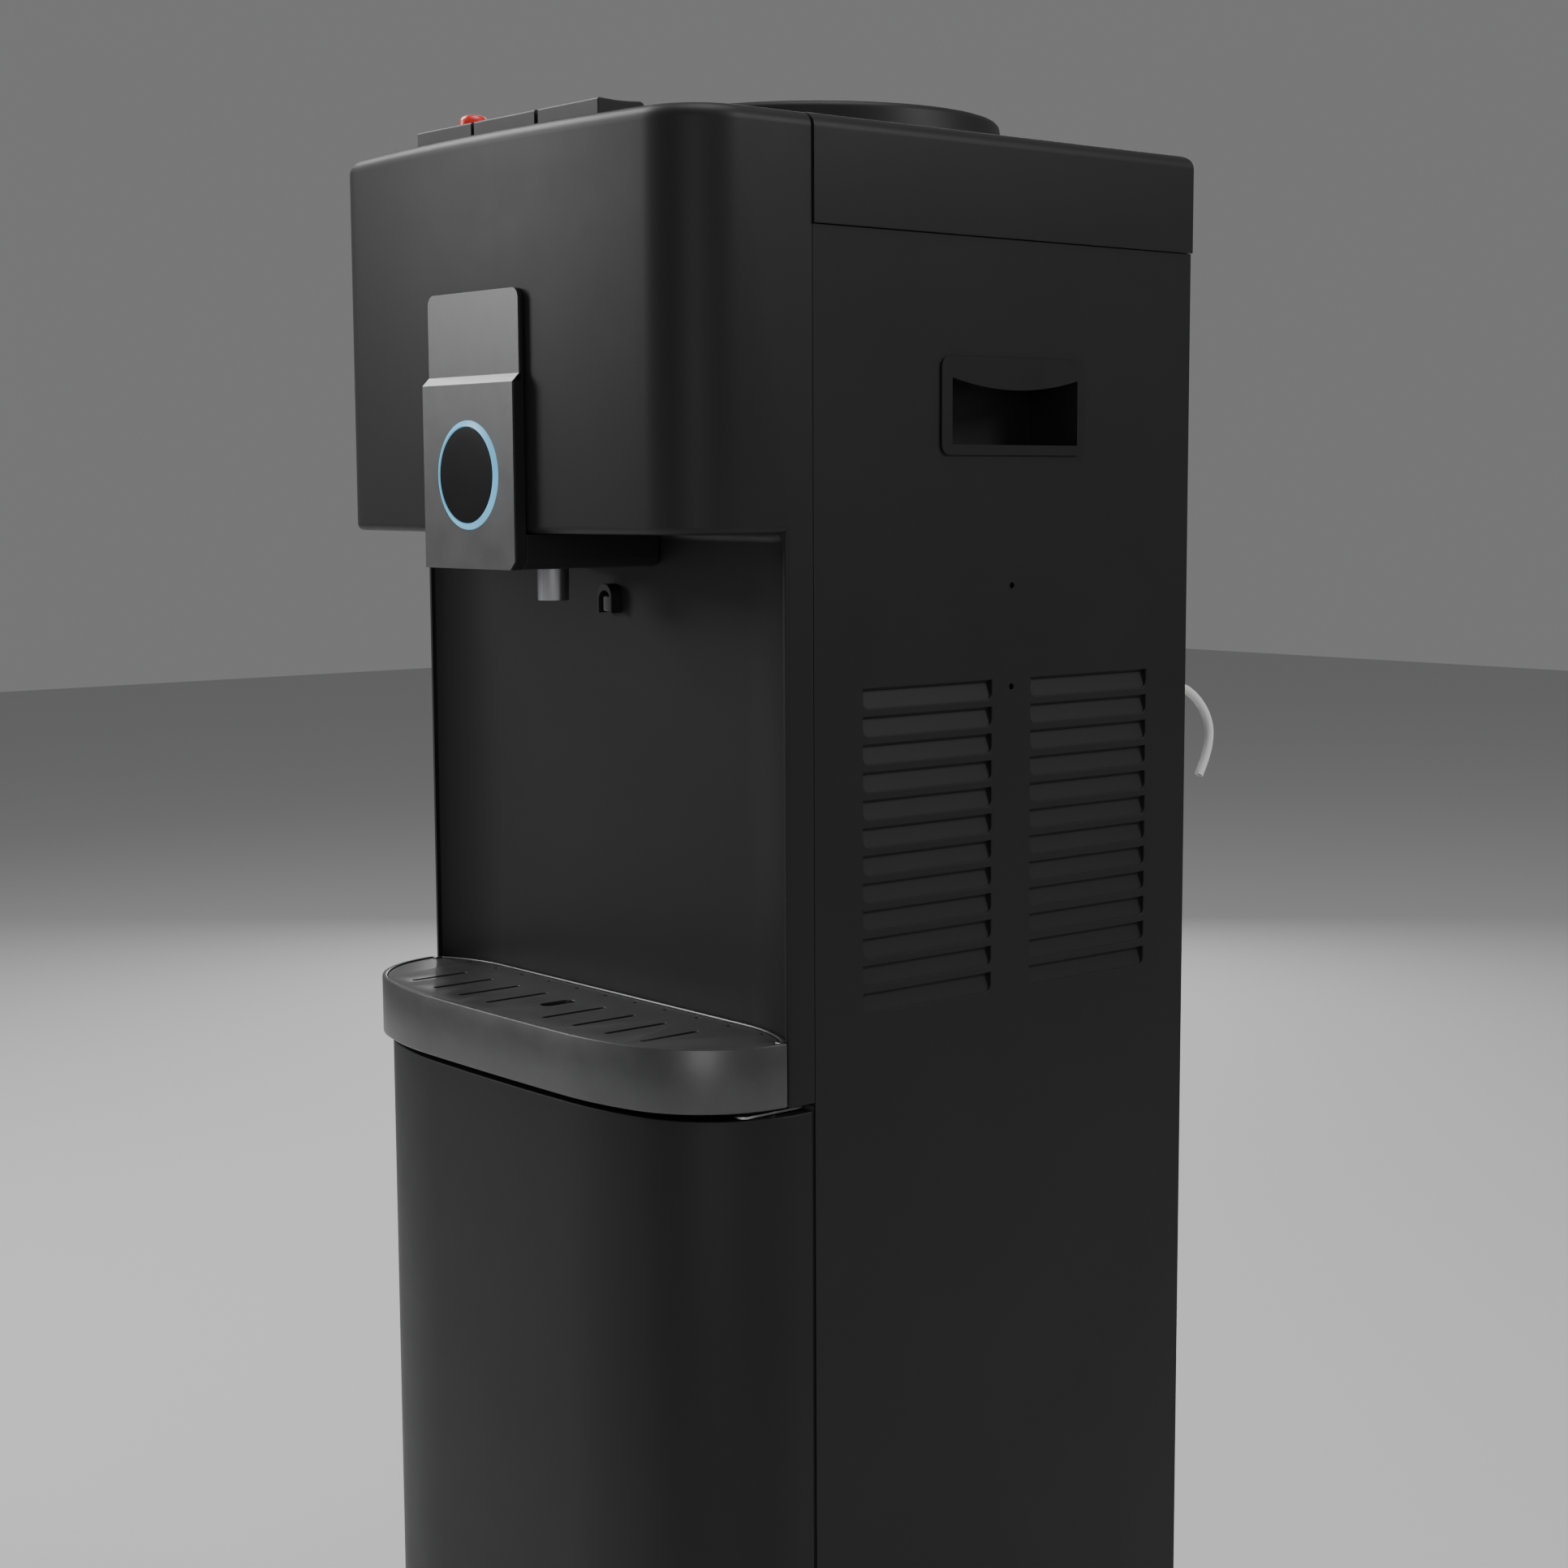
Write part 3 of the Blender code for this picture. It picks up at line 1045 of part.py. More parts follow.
def cold_block_box(grow):
    half = BLOCK_SIZE / 2 + grow
    z0 = TANK_FLOOR + BLOCK_LIFT
    return (TANK_R + TOUCH, BLOCK_OUTER_X, MID_Y - half, MID_Y + half, z0 - grow, z0 + BLOCK_SIZE + grow)


def cooler():
    """Cold block, thermoelectric module, finned sink and fan, from the tank out to the louvres."""
    make_object("cold_block", box(*cold_block_box(0)), ALUMINIUM, MACHINE)
    x0, x1, y0, y1, z0, z1 = cold_block_box(0)
    make_object("peltier_module", box(x1 + TOUCH, x1 + TOUCH + PELTIER, y0, y1, z0, z1), WHITE_PLASTIC, MACHINE)
    fin_end = FAN_X - 2 * MM
    half = SINK_WIDTH / 2
    pitch = (SINK_WIDTH - SINK_FIN) / (SINK_FINS - 1)
    comb = [(SINK_X, MID_Y + half), (SINK_X, MID_Y - half)]
    for i in range(SINK_FINS):
        y = MID_Y - half + i * pitch
        comb += [(fin_end, y), (fin_end, y + SINK_FIN)]
        if i < SINK_FINS - 1:
            comb += [(SINK_X + SINK_BASE, y + SINK_FIN), (SINK_X + SINK_BASE, y + pitch)]
    top = z1 + 15 * MM
    make_object("heat_sink", prism(comb, top - SINK_HEIGHT, top), ALUMINIUM, MACHINE)


def fan():
    half = FAN_SIZE / 2
    outline = rounded(MID_Y - half, MID_Y + half, FAN_Z - half, FAN_Z + half, 5 * MM, 2)
    frame = make_object("fan_frame", prism(outline, FAN_X, FAN_X + FAN_DEPTH, "X"), GLOSS_BLACK, MACHINE)
    cut(frame, prism(circle(MID_Y, FAN_Z, FAN_BORE_R, ROUND), FAN_X - THROUGH, FAN_X + FAN_DEPTH + THROUGH, "X"))
    strut = 3 * MM
    reach = FAN_BORE_R + 1.5 * MM
    struts = box(FAN_X + FAN_DEPTH - strut, FAN_X + FAN_DEPTH, MID_Y - reach, MID_Y + reach,
                 FAN_Z - strut, FAN_Z + strut)
    upright = box(FAN_X + FAN_DEPTH - strut, FAN_X + FAN_DEPTH - 0.2 * MM, MID_Y - strut, MID_Y + strut,
                  FAN_Z - reach, FAN_Z + reach)
    plate = prism(circle(MID_Y, FAN_Z, FAN_HUB_R, 20), FAN_X + FAN_DEPTH - strut - 0.2 * MM,
                  FAN_X + FAN_DEPTH - 0.4 * MM, "X")
    unite(frame, struts, upright, plate)

    pivot = empty("fan_spin", (FAN_X + FAN_DEPTH / 2, MID_Y, FAN_Z), MACHINE)
    low, high = FAN_X + 2 * MM, FAN_X + FAN_DEPTH - strut - MM
    rotor = make_object("fan_rotor", prism(circle(MID_Y, FAN_Z, FAN_HUB_R, 28), low, high, "X"),
                        GLOSS_BLACK, pivot)
    tip = FAN_BORE_R - 1.5 * MM
    blades = []
    for i in range(FAN_BLADES):
        blade = [(low + 1 * MM, -9 * MM), (low + 2.5 * MM, -9 * MM), (high - 1 * MM, 9 * MM),
                 (high - 2.5 * MM, 9 * MM)]
        shape = loft([[(x, v, w) for x, v in blade] for w in (FAN_HUB_R * 0.8, tip)])
        shape.transform(Matrix.Rotation(math.tau * i / FAN_BLADES, 4, "X"))
        shape.transform(Matrix.Translation((0, MID_Y, FAN_Z)))
        blades.append(shape)
    unite(rotor, joined(blades))


def hot_tank():
    """Hot tank on the deck with its band heater; the top spigot is open."""
    low = DECK_TOP + TOUCH
    high = low + HOT_TANK_HEIGHT
    inner = HOT_TANK_R - TANK_WALL
    bore = SPIGOT_R - 2 * MM
    centre = (HOT_TANK_X, HOT_TANK_Y, 0)
    profile = [(0, low), (HOT_TANK_R, low), (HOT_TANK_R, high), (SPIGOT_R, high), (SPIGOT_R, high + 10 * MM),
               (bore, high + 10 * MM), (bore, high - TANK_WALL), (inner, high - TANK_WALL),
               (inner, low + TANK_WALL), (0, low + TANK_WALL)]
    make_object("hot_tank", turned(profile, centre), STEEL, MACHINE)
    band_low = low + 45 * MM
    band = [(HOT_TANK_R + TOUCH, band_low), (HOT_TANK_R + TOUCH + BAND, band_low),
            (HOT_TANK_R + TOUCH + BAND, band_low + BAND_HEIGHT), (HOT_TANK_R + TOUCH, band_low + BAND_HEIGHT)]
    make_object("heater_band", turned(band, centre), STEEL, MACHINE)


def water_tubes():
    """Silicone tubes from the tanks to the valves, and from the cold tank down to the hot tank."""
    port_y = MID_Y - (TANK_R + RUN + FOAM) - MM - TUBE_END
    valve_y = key_middle_y() + VALVE_SIZE / 2 + TUBE_END
    valve_z = BODY_HEIGHT - VALVE_TOP_DROP - VALVE_HEIGHT / 2
    lead = 5.5 * TUBE_R
    places = valve_places()
    room_z = TANK_TOP - ROOM_PORT_DROP
    tube("tube_room", [(0, port_y, room_z), (0, port_y - lead, room_z),
                       (0, (port_y + valve_y) / 2, (room_z + valve_z) / 2),
                       (0, valve_y + lead, valve_z), (0, valve_y, valve_z)])
    cold_z = TANK_TOP - COLD_PORT_DROP
    tube("tube_cold", [(0, port_y, cold_z), (0, port_y - lead, cold_z),
                       (places["cold"] / 3, port_y - 34 * MM, cold_z + 28 * MM),
                       (places["cold"] * 0.9, valve_y + 42 * MM, (cold_z + valve_z) / 2),
                       (places["cold"], valve_y + 34 * MM, valve_z - 14 * MM),
                       (places["cold"], valve_y + lead, valve_z), (places["cold"], valve_y, valve_z)])
    hot_z = DECK_TOP + TOUCH + HOT_TANK_HEIGHT + 10 * MM + TUBE_END
    clear_x = -(TANK_R + RUN + FOAM + TUBE_CLEAR)
    tube("tube_hot", [(HOT_TANK_X, HOT_TANK_Y, hot_z), (HOT_TANK_X, HOT_TANK_Y, hot_z + lead),
                      (clear_x, MID_Y - 25 * MM, hot_z + 60 * MM),
                      (clear_x - 2 * MM, MID_Y - 90 * MM, hot_z + 130 * MM),
                      (places["hot"] - 4 * MM, valve_y + 38 * MM, valve_z - 45 * MM),
                      (places["hot"], valve_y + 34 * MM, valve_z - 12 * MM),
                      (places["hot"], valve_y + lead, valve_z), (places["hot"], valve_y, valve_z)])
    foot = TANK_FLOOR - SPIGOT_DROP - TUBE_END
    side_x = HOT_TANK_X + HOT_TANK_R + TUBE_END
    feed_z = DECK_TOP + 20 * MM
    tube("tube_fill", [(0, MID_Y, foot), (0, MID_Y, foot - lead), (4 * MM, MID_Y + 12 * MM, foot - 60 * MM),
                       (8 * MM, HOT_TANK_Y, feed_z + 50 * MM), (-4 * MM, HOT_TANK_Y, feed_z + 12 * MM),
                       (side_x + lead, HOT_TANK_Y, feed_z), (side_x, HOT_TANK_Y, feed_z)])


def power_board():
    """Control board standing on the deck by the left side panel, with its larger components."""
    x = -HALF + 10 * MM
    z0 = DECK_TOP + 30 * MM
    y0, y1 = 20 * MM, 100 * MM
    board = make_object("power_board", box(x, x + 1.6 * MM, y0, y1, z0, z0 + 120 * MM), BOARD_GREEN, MACHINE)
    face = x + 1 * MM
    unite(board, joined([box(face, face + 30 * MM, y0 + 8 * MM, y0 + 40 * MM, z0 + 10 * MM, z0 + 44 * MM),
                         box(face, face + 18 * MM, y0 + 48 * MM, y0 + 70 * MM, z0 + 12 * MM, z0 + 30 * MM),
                         prism(circle(y0 + 22 * MM, z0 + 62 * MM, 9 * MM), face, face + 26 * MM, "X"),
                         prism(circle(y0 + 50 * MM, z0 + 62 * MM, 6 * MM), face, face + 20 * MM, "X"),
                         box(face, face + 12 * MM, y0 + 10 * MM, y0 + 70 * MM, z0 + 100 * MM, z0 + 110 * MM)]))


# --- Overflow hose ---------------------------------------------------------------------------

def overflow_hose():
    z = BODY_HEIGHT - GLAND_DROP
    inside = PANEL_INNER_Y - 8 * MM
    neck = GLAND_R - 2 * MM
    profile = [(0, inside), (neck, inside), (neck, PANEL_BACK_Y + TOUCH), (GLAND_R, PANEL_BACK_Y + TOUCH),
               (GLAND_R, PANEL_BACK_Y + 2.5 * MM), (neck, PANEL_BACK_Y + 3.5 * MM), (3.4 * MM, BACK_MOST),
               (0, BACK_MOST)]
    make_object("hose_gland", turned(profile, (GLAND_X, 0, z), "Y", 20), RUBBER, MACHINE)
    start = BACK_MOST + TOUCH
    # out of the gland, over in one easy bend and down under its own weight
    offsets = [(0, 0), (10, 1.6), (20.5, 2.2), (27.5, 0.4), (36.2, -5.4), (43, -13.1), (46.6, -21.5),
               (46.4, -30.2), (43.3, -39.1), (38.5, -47.7)]
    points = [(GLAND_X, start + y * MM, z + dz * MM) for y, dz in offsets]
    tube("overflow_hose", points, HOSE_R, HOSE_WHITE)


clear_scene()
MACHINE = empty("machine", (0, SEAM_Y, 0))
BLACK_PLASTIC = material("black_plastic", (0.02, 0.02, 0.021), 0.42)
GLOSS_BLACK = material("gloss_black", (0.01, 0.01, 0.011), 0.15)
GREY_PLASTIC = material("grey_plastic", (0.12, 0.12, 0.125), 0.5)
WHITE_PLASTIC = material("white_plastic", (0.75, 0.75, 0.73), 0.45)
SILVER = material("silver", (0.2, 0.2, 0.205), 0.38, 0.6)
DARK_METAL = material("dark_metal", (0.03, 0.03, 0.032), 0.5, 0.3)
STEEL = material("steel", (0.55, 0.55, 0.56), 0.3, 1.0)
ALUMINIUM = material("aluminium", (0.7, 0.7, 0.72), 0.35, 1.0)
RUBBER = material("rubber", (0.025, 0.025, 0.025), 0.8)
RED_PLASTIC = material("red_plastic", (0.75, 0.04, 0.03), 0.35)
RING_BLUE = material("ring_blue", (0.25, 0.6, 0.8), 0.3)
LENS = material("lens", (0.85, 0.87, 0.9), 0.1)
FOAM_WHITE = material("foam_white", (0.85, 0.85, 0.82), 0.9)
SILICONE = material("silicone", (0.8, 0.8, 0.78), 0.4)
HOSE_WHITE = material("hose_white", (0.85, 0.85, 0.84), 0.4)
BOARD_GREEN = material("board_green", (0.02, 0.16, 0.06), 0.5)

base_pan()
feet()
side_panel("side_panel_left", -1)
side_panel("side_panel_right", 1)
handle_cups()
back_panel()
switch_bezel()
rockers()
mains_inlet()
top_cover()
head_shell()
niche_panel()
machine_deck()
spout_housing()
front_plate()
indicator()
spout()
outlet_manifold()
valves()
keys()
night_light()
drip_tray()
drip_grille()
door()
hinges()
compartment_liner()
door_catch()
bottle_collar()
tank_lid()
cold_tank()
cooler()
fan()
hot_tank()
water_tubes()
power_board()
overflow_hose()
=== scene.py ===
"""Looks of the floor-standing water dispenser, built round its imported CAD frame.

Shapes are made in the machine's own space: X is centred, Y = 0 is the seam between the front
mouldings and the side panels, Z = 0 is the floor, and each piece is moved to the frame's space
when it becomes an object.
"""
import json
import math

import bmesh
import bpy
from mathutils import Matrix, Vector

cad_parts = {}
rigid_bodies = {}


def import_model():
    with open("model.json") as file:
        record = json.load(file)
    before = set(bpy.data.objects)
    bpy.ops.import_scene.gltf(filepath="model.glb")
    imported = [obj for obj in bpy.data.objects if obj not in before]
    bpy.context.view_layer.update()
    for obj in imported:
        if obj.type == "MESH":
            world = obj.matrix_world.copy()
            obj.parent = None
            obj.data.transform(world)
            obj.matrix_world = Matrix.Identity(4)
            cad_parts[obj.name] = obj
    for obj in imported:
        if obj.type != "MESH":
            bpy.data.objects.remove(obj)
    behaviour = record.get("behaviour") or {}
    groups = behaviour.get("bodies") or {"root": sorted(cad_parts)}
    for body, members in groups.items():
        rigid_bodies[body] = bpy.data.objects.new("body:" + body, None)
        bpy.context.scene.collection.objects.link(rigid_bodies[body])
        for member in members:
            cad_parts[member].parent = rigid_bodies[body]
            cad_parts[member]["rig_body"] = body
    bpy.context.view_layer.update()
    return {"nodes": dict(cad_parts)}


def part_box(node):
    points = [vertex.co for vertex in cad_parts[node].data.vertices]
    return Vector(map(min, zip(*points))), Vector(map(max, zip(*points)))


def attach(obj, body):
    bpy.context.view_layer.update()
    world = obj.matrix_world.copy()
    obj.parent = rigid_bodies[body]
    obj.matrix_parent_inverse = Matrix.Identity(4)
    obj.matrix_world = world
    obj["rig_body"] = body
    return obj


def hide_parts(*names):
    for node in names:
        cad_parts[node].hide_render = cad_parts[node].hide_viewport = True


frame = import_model()

MM = 0.001

# Places read from the frame
RUN = 0.5 * MM
TOUCH = 0.3 * MM
SEAM_HALF = 0.2 * MM
SEAM_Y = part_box("head_shell")[1].y + SEAM_HALF
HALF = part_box("side_panel_right")[1].x
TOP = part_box("head_shell")[1].z
HEAD_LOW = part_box("niche_panel")[1].z + TOUCH
TRAY_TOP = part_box("drip_tray")[1].z
TRAY_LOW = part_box("drip_tray")[0].z
DOOR_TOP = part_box("door_shell")[1].z
DOOR_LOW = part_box("door_shell")[0].z
COVER_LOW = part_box("top_cover")[0].z
HOUSING_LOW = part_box("spout_housing")[0].z
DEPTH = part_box("side_panel_right")[1].y - SEAM_Y
MID_Y = DEPTH / 2
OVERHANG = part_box("top_cover")[1].x - HALF
COLLAR_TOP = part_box("bottle_collar")[1].z
FUNNEL_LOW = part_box("bottle_collar")[0].z
PANEL_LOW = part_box("side_panel_right")[0].z
PANEL_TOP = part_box("side_panel_right")[1].z

# Sizes of the shapes, as in the CAD
WALL = 2.5 * MM
SHEET = 1.2 * MM
HEAD_REACH, HEAD_RADII = 83 * MM, (1000 * MM, 1000 * MM, 35 * MM)
DOOR_REACH, DOOR_RADII = 79.8 * MM, (1500 * MM, 190 * MM, 64 * MM)
TRAY_REACH, TRAY_RADII = 84 * MM, (3000 * MM, 190 * MM, 62 * MM)
SHOULDER_X = 62 * MM
TOP_FILLET = 7.2 * MM
HEAD_LOW_FILLET = 3.6 * MM
NICHE_FLAT_HALF, NICHE_R, NICHE_WALL_Y = 107 * MM, 87 * MM, -1.7 * MM
NICHE_COVE = 4.5 * MM
FLANGE_Y, FLANGE_LIP, FLANGE_NOSE_R = -16.3 * MM, 3 * MM, 2 * MM
MOUTH_CORNER_R = 6.5 * MM
PLATE_HALF = 39.75 * MM
PLATE_UPPER_Y, PLATE_LOWER_Y = -86 * MM, -90 * MM
PLATE_BACK_Y = -HEAD_REACH - TOUCH
PLATE_STEP = TOP - 117 * MM
PLATE_SKIN, PLATE_TOP_R, PLATE_CHAMFER = 1.1 * MM, 5 * MM, 4 * MM
RING_R, RING_INNER_R, RING_PROUD = 26.6 * MM, 23.8 * MM, 1.35 * MM
KEY_FRONT_Y, KEY_BACK_Y = -65.5 * MM, -38 * MM
KEY_RISE, KEY_HEIGHT, KEY_STEM_R = 9.2 * MM, 14 * MM, 4.2 * MM
SPOUT_Y, SPOUT_R, SPOUT_BORE_R = -40 * MM, 8 * MM, 5.4 * MM
GRILLE_INSET, GRILLE_PITCH, GRILLE_FALL = 3 * MM, 25.6 * MM, 18 * MM
COLLAR_FLARE, COLLAR_EDGE_R, COLLAR_FLAT, COLLAR_LIP_R = 2.9 * MM, 4 * MM, 2.6 * MM, 2.8 * MM
COLLAR_WALL, COLLAR_SEAT_R, COLLAR_HOLE_R = 3 * MM, 94 * MM, 95 * MM
THROAT_R, THROAT_HEIGHT, PROBE_R = 34 * MM, 27 * MM, 8.3 * MM
LOUVRE_ROWS, LOUVRE_PITCH, LOUVRE_DROP = 12, 13.5 * MM, 268 * MM
LOUVRE_LENGTH, LOUVRE_HEIGHT, LOUVRE_GAP, LOUVRE_R = 86.5 * MM, 10 * MM, 27.5 * MM, 4 * MM
LOUVRE_WALL = 0.9 * MM
SCREW_R, SCREW_DROPS = 1.6 * MM, (221.3 * MM, 272.1 * MM)
HANDLE_CORNER_R, HANDLE_DEPTH, HANDLE_SAG = 5 * MM, 36 * MM, 5.5 * MM
DOOR_FILLET, DOOR_TOP_FILLET = 1.2 * MM, 0.6 * MM
HINGE_X, HINGE_Y, HINGE_BORE_R = 143.4 * MM, -35 * MM, 2.8 * MM
HOSE_R, HOSE_BORE_R = 2.4 * MM, 1.6 * MM
PAST = 5 * MM                    # how far a cutter reaches past what it cuts

# Camera, from the machine's own origin; angles in degrees, lens in millimetres
CAMERA_PLACE = (1071.6 * MM, -788 * MM, 807.2 * MM)
CAMERA_YAW, CAMERA_PITCH, CAMERA_ROLL, CAMERA_LENS = 49.99, 6.54, -0.27, 59.03


# --- Building blocks -------------------------------------------------------------------------

def arc(u, v, radius, start, end, steps):
    angles = [math.radians(start + (end - start) * i / steps) for i in range(steps + 1)]
    return [(u + radius * math.cos(a), v + radius * math.sin(a)) for a in angles]


def circle(u, v, radius, steps=32):
    return arc(u, v, radius, 0, 360, steps)[:-1]


def rounded(u0, u1, v0, v1, radius, steps=6):
    corners = [(u1, v0, -90), (u1, v1, 0), (u0, v1, 90), (u0, v0, 180)]
    outline = []
    for u, v, start in corners:
        centre_u = u - radius if u == u1 else u + radius
        centre_v = v - radius if v == v1 else v + radius
        outline += arc(centre_u, centre_v, radius, start, start + 90, steps)
    return outline


PLACE = {
    "Z": lambda u, v, w: (u, v, w),
    "X": lambda u, v, w: (w, u, v),
    "Y": lambda u, v, w: (u, w, v),
}


def loft(loops, ring=False):
    bm = bmesh.new()
    rows = [[bm.verts.new(point) for point in loop] for loop in loops]
    pairs = list(zip(rows, rows[1:]))
    if ring:
        pairs.append((rows[-1], rows[0]))
    for low, high in pairs:
        for i in range(len(low)):
            j = (i + 1) % len(low)
            bm.faces.new((low[i], low[j], high[j], high[i]))
    if not ring:
        bm.faces.new(rows[0])
        bm.faces.new(rows[-1])
    return bm


def prism(outline, low, high, axis="Z"):
    place = PLACE[axis]
    return loft([[place(u, v, w) for u, v in outline] for w in (low, high)])


def box(x0, x1, y0, y1, z0, z1):
    return prism([(x0, y0), (x1, y0), (x1, y1), (x0, y1)], z0, z1)


def turned(profile, centre, axis="Z", steps=96):
    place = PLACE[axis]
    base = Vector(centre)
    bm = bmesh.new()
    rings = []
    for radius, height in profile:
        if radius == 0:
            rings.append([bm.verts.new(base + Vector(place(0, 0, height)))] * steps)
            continue
        angles = [math.tau * i / steps for i in range(steps)]
        spots = [place(radius * math.cos(a), radius * math.sin(a), height) for a in angles]
        rings.append([bm.verts.new(base + Vector(spot)) for spot in spots])
    for low, high in zip(rings, rings[1:] + rings[:1]):
        for i in range(steps):
            j = (i + 1) % steps
            corners = list(dict.fromkeys((low[i], low[j], high[j], high[i])))
            if len(corners) > 2:
                bm.faces.new(corners)
    return bm


def joined(shapes):
    whole = bmesh.new()
    for shape in shapes:
        bmesh.ops.recalc_face_normals(shape, faces=shape.faces)
        mesh = bpy.data.meshes.new("shape")
        shape.to_mesh(mesh)
        shape.free()
        whole.from_mesh(mesh)
        bpy.data.meshes.remove(mesh)
    return whole


def raw_object(name, bm):
    bmesh.ops.recalc_face_normals(bm, faces=bm.faces)
    bm.transform(Matrix.Translation((0, SEAM_Y, 0)))
    mesh = bpy.data.meshes.new(name)
    bm.to_mesh(mesh)
    bm.free()
    made = bpy.data.objects.new(name, mesh)
    bpy.context.scene.collection.objects.link(made)
    return made


def boolean(target, bm, operation):
    """Cut bm out of the target, or unite it with it, and keep only the result."""
    guide = raw_object(f"{target.name}_guide", bm)
    modifier = target.modifiers.new(operation, "BOOLEAN")
    modifier.operation = operation
    modifier.solver = "EXACT"
    modifier.object = guide
    bpy.context.view_layer.update()
    graph = bpy.context.evaluated_depsgraph_get()
    mesh = bpy.data.meshes.new_from_object(target.evaluated_get(graph))
    target.modifiers.clear()
    old = target.data
    target.data = mesh
    bpy.data.meshes.remove(old)
    bpy.data.objects.remove(guide, do_unlink=True)


def soften(piece, width, segments=2, angle=38):
    """Round the sharp edges and shade the rest smoothly."""
    if width:
        bevel = piece.modifiers.new("Edges", "BEVEL")
        bevel.width = width
        bevel.segments = segments
        bevel.limit_method = "ANGLE"
        bevel.angle_limit = math.radians(angle)
        bevel.harden_normals = True
        bevel.use_clamp_overlap = True
    piece.data.shade_smooth()
    piece.data.set_sharp_from_angle(angle=math.radians(angle))


def finished(made, finish, body, nodes, edge=0.3 * MM, segments=2, slot=None, angle=38):
    """Edges, finish, body and CAD nodes of an object whose shape is done."""
    soften(made, edge, segments, angle)
    made.data.materials.clear()
    made.data.materials.append(finish)
    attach(made, body)
    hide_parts(*nodes)
    return made


def piece(name, bm, finish, body, nodes, cuts=(), joins=(), **looks):
    """A finished piece: its shape, what is joined to it and cut out of it, its edges and its finish."""
    made = raw_object(name, bm)
    for shape in joins:
        boolean(made, shape, "UNION")
    for shape in cuts:
        boolean(made, shape, "DIFFERENCE")
    return finished(made, finish, body, nodes, **looks)


def polish(name, finish, edge=0.3 * MM, angle=32):
    """A CAD node whose shape is right, with its flat faces merged and its edges rounded."""
    source = frame["nodes"][name]
    bm = bmesh.new()
    bm.from_mesh(source.data)
    bmesh.ops.remove_doubles(bm, verts=bm.verts, dist=0.00001)
    bmesh.ops.dissolve_limit(bm, angle_limit=math.radians(0.5), verts=bm.verts, edges=bm.edges)
    bm.transform(Matrix.Translation((0, -SEAM_Y, 0)))
    finished(raw_object(f"{name}_finished", bm), finish, source["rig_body"], [name], edge, angle=angle)


# --- Materials -------------------------------------------------------------------------------

def new_material(name):
    made = bpy.data.materials.new(name)
    made.use_nodes = True
    return made, made.node_tree.nodes, made.node_tree.links


def node(nodes, kind, **values):
    made = nodes.new(kind)
    for key, value in values.items():
        if key in made.inputs:
            made.inputs[key].default_value = value
        else:
            setattr(made, key, value)
    return made


def ramp(nodes, links, source, stops):
    """Colour ramp on a factor; stops are (place, colour or grey)."""
    made = nodes.new("ShaderNodeValToRGB")
    elements = made.color_ramp.elements
    while len(elements) < len(stops):
        elements.new(0.5)
    for element, (place, value) in zip(elements, stops):
        element.position = place
        colour = value if isinstance(value, tuple) else (value, value, value)
        element.color = (*colour, 1)
    links.new(source, made.inputs["Fac"])
    return made.outputs["Color"]


def shade(value, factor):
    return tuple(c * factor for c in value)


def moulded(name, colour, roughness, grain=1400, depth=0.04, spread=0.06, coat=0.0, specular=0.5, ior=1.48):
    """Moulded plastic: spark-eroded grain, slow drift of gloss, faint slow drift of tone."""
    made, nodes, links = new_material(name)
    shader = nodes["Principled BSDF"]
    place = node(nodes, "ShaderNodeTexCoord")
    fine = node(nodes, "ShaderNodeTexNoise", Scale=grain, Detail=3.0, Roughness=0.6)
    slow = node(nodes, "ShaderNodeTexNoise", Scale=7.0, Detail=2.0)
    smear = node(nodes, "ShaderNodeTexNoise", Scale=38.0, Detail=4.0, Roughness=0.65)
    for texture in (fine, slow, smear):
        links.new(place.outputs["Object"], texture.inputs["Vector"])
    tint = ramp(nodes, links, slow.outputs["Fac"], [(0.25, shade(colour, 0.9)), (0.75, shade(colour, 1.1))])
    links.new(tint, shader.inputs["Base Color"])
    gloss = node(nodes, "ShaderNodeMapRange")
    gloss.inputs["To Min"].default_value = roughness - spread
    gloss.inputs["To Max"].default_value = roughness + spread
    links.new(smear.outputs["Fac"], gloss.inputs["Value"])
    links.new(gloss.outputs["Result"], shader.inputs["Roughness"])
    bump = node(nodes, "ShaderNodeBump", Strength=depth * 5, Distance=0.0002)
    links.new(fine.outputs["Fac"], bump.inputs["Height"])
    links.new(bump.outputs["Normal"], shader.inputs["Normal"])
    shader.inputs["Specular IOR Level"].default_value = specular
    shader.inputs["IOR"].default_value = ior
    shader.inputs["Coat Weight"].default_value = coat
    shader.inputs["Coat Roughness"].default_value = 0.12
    return made


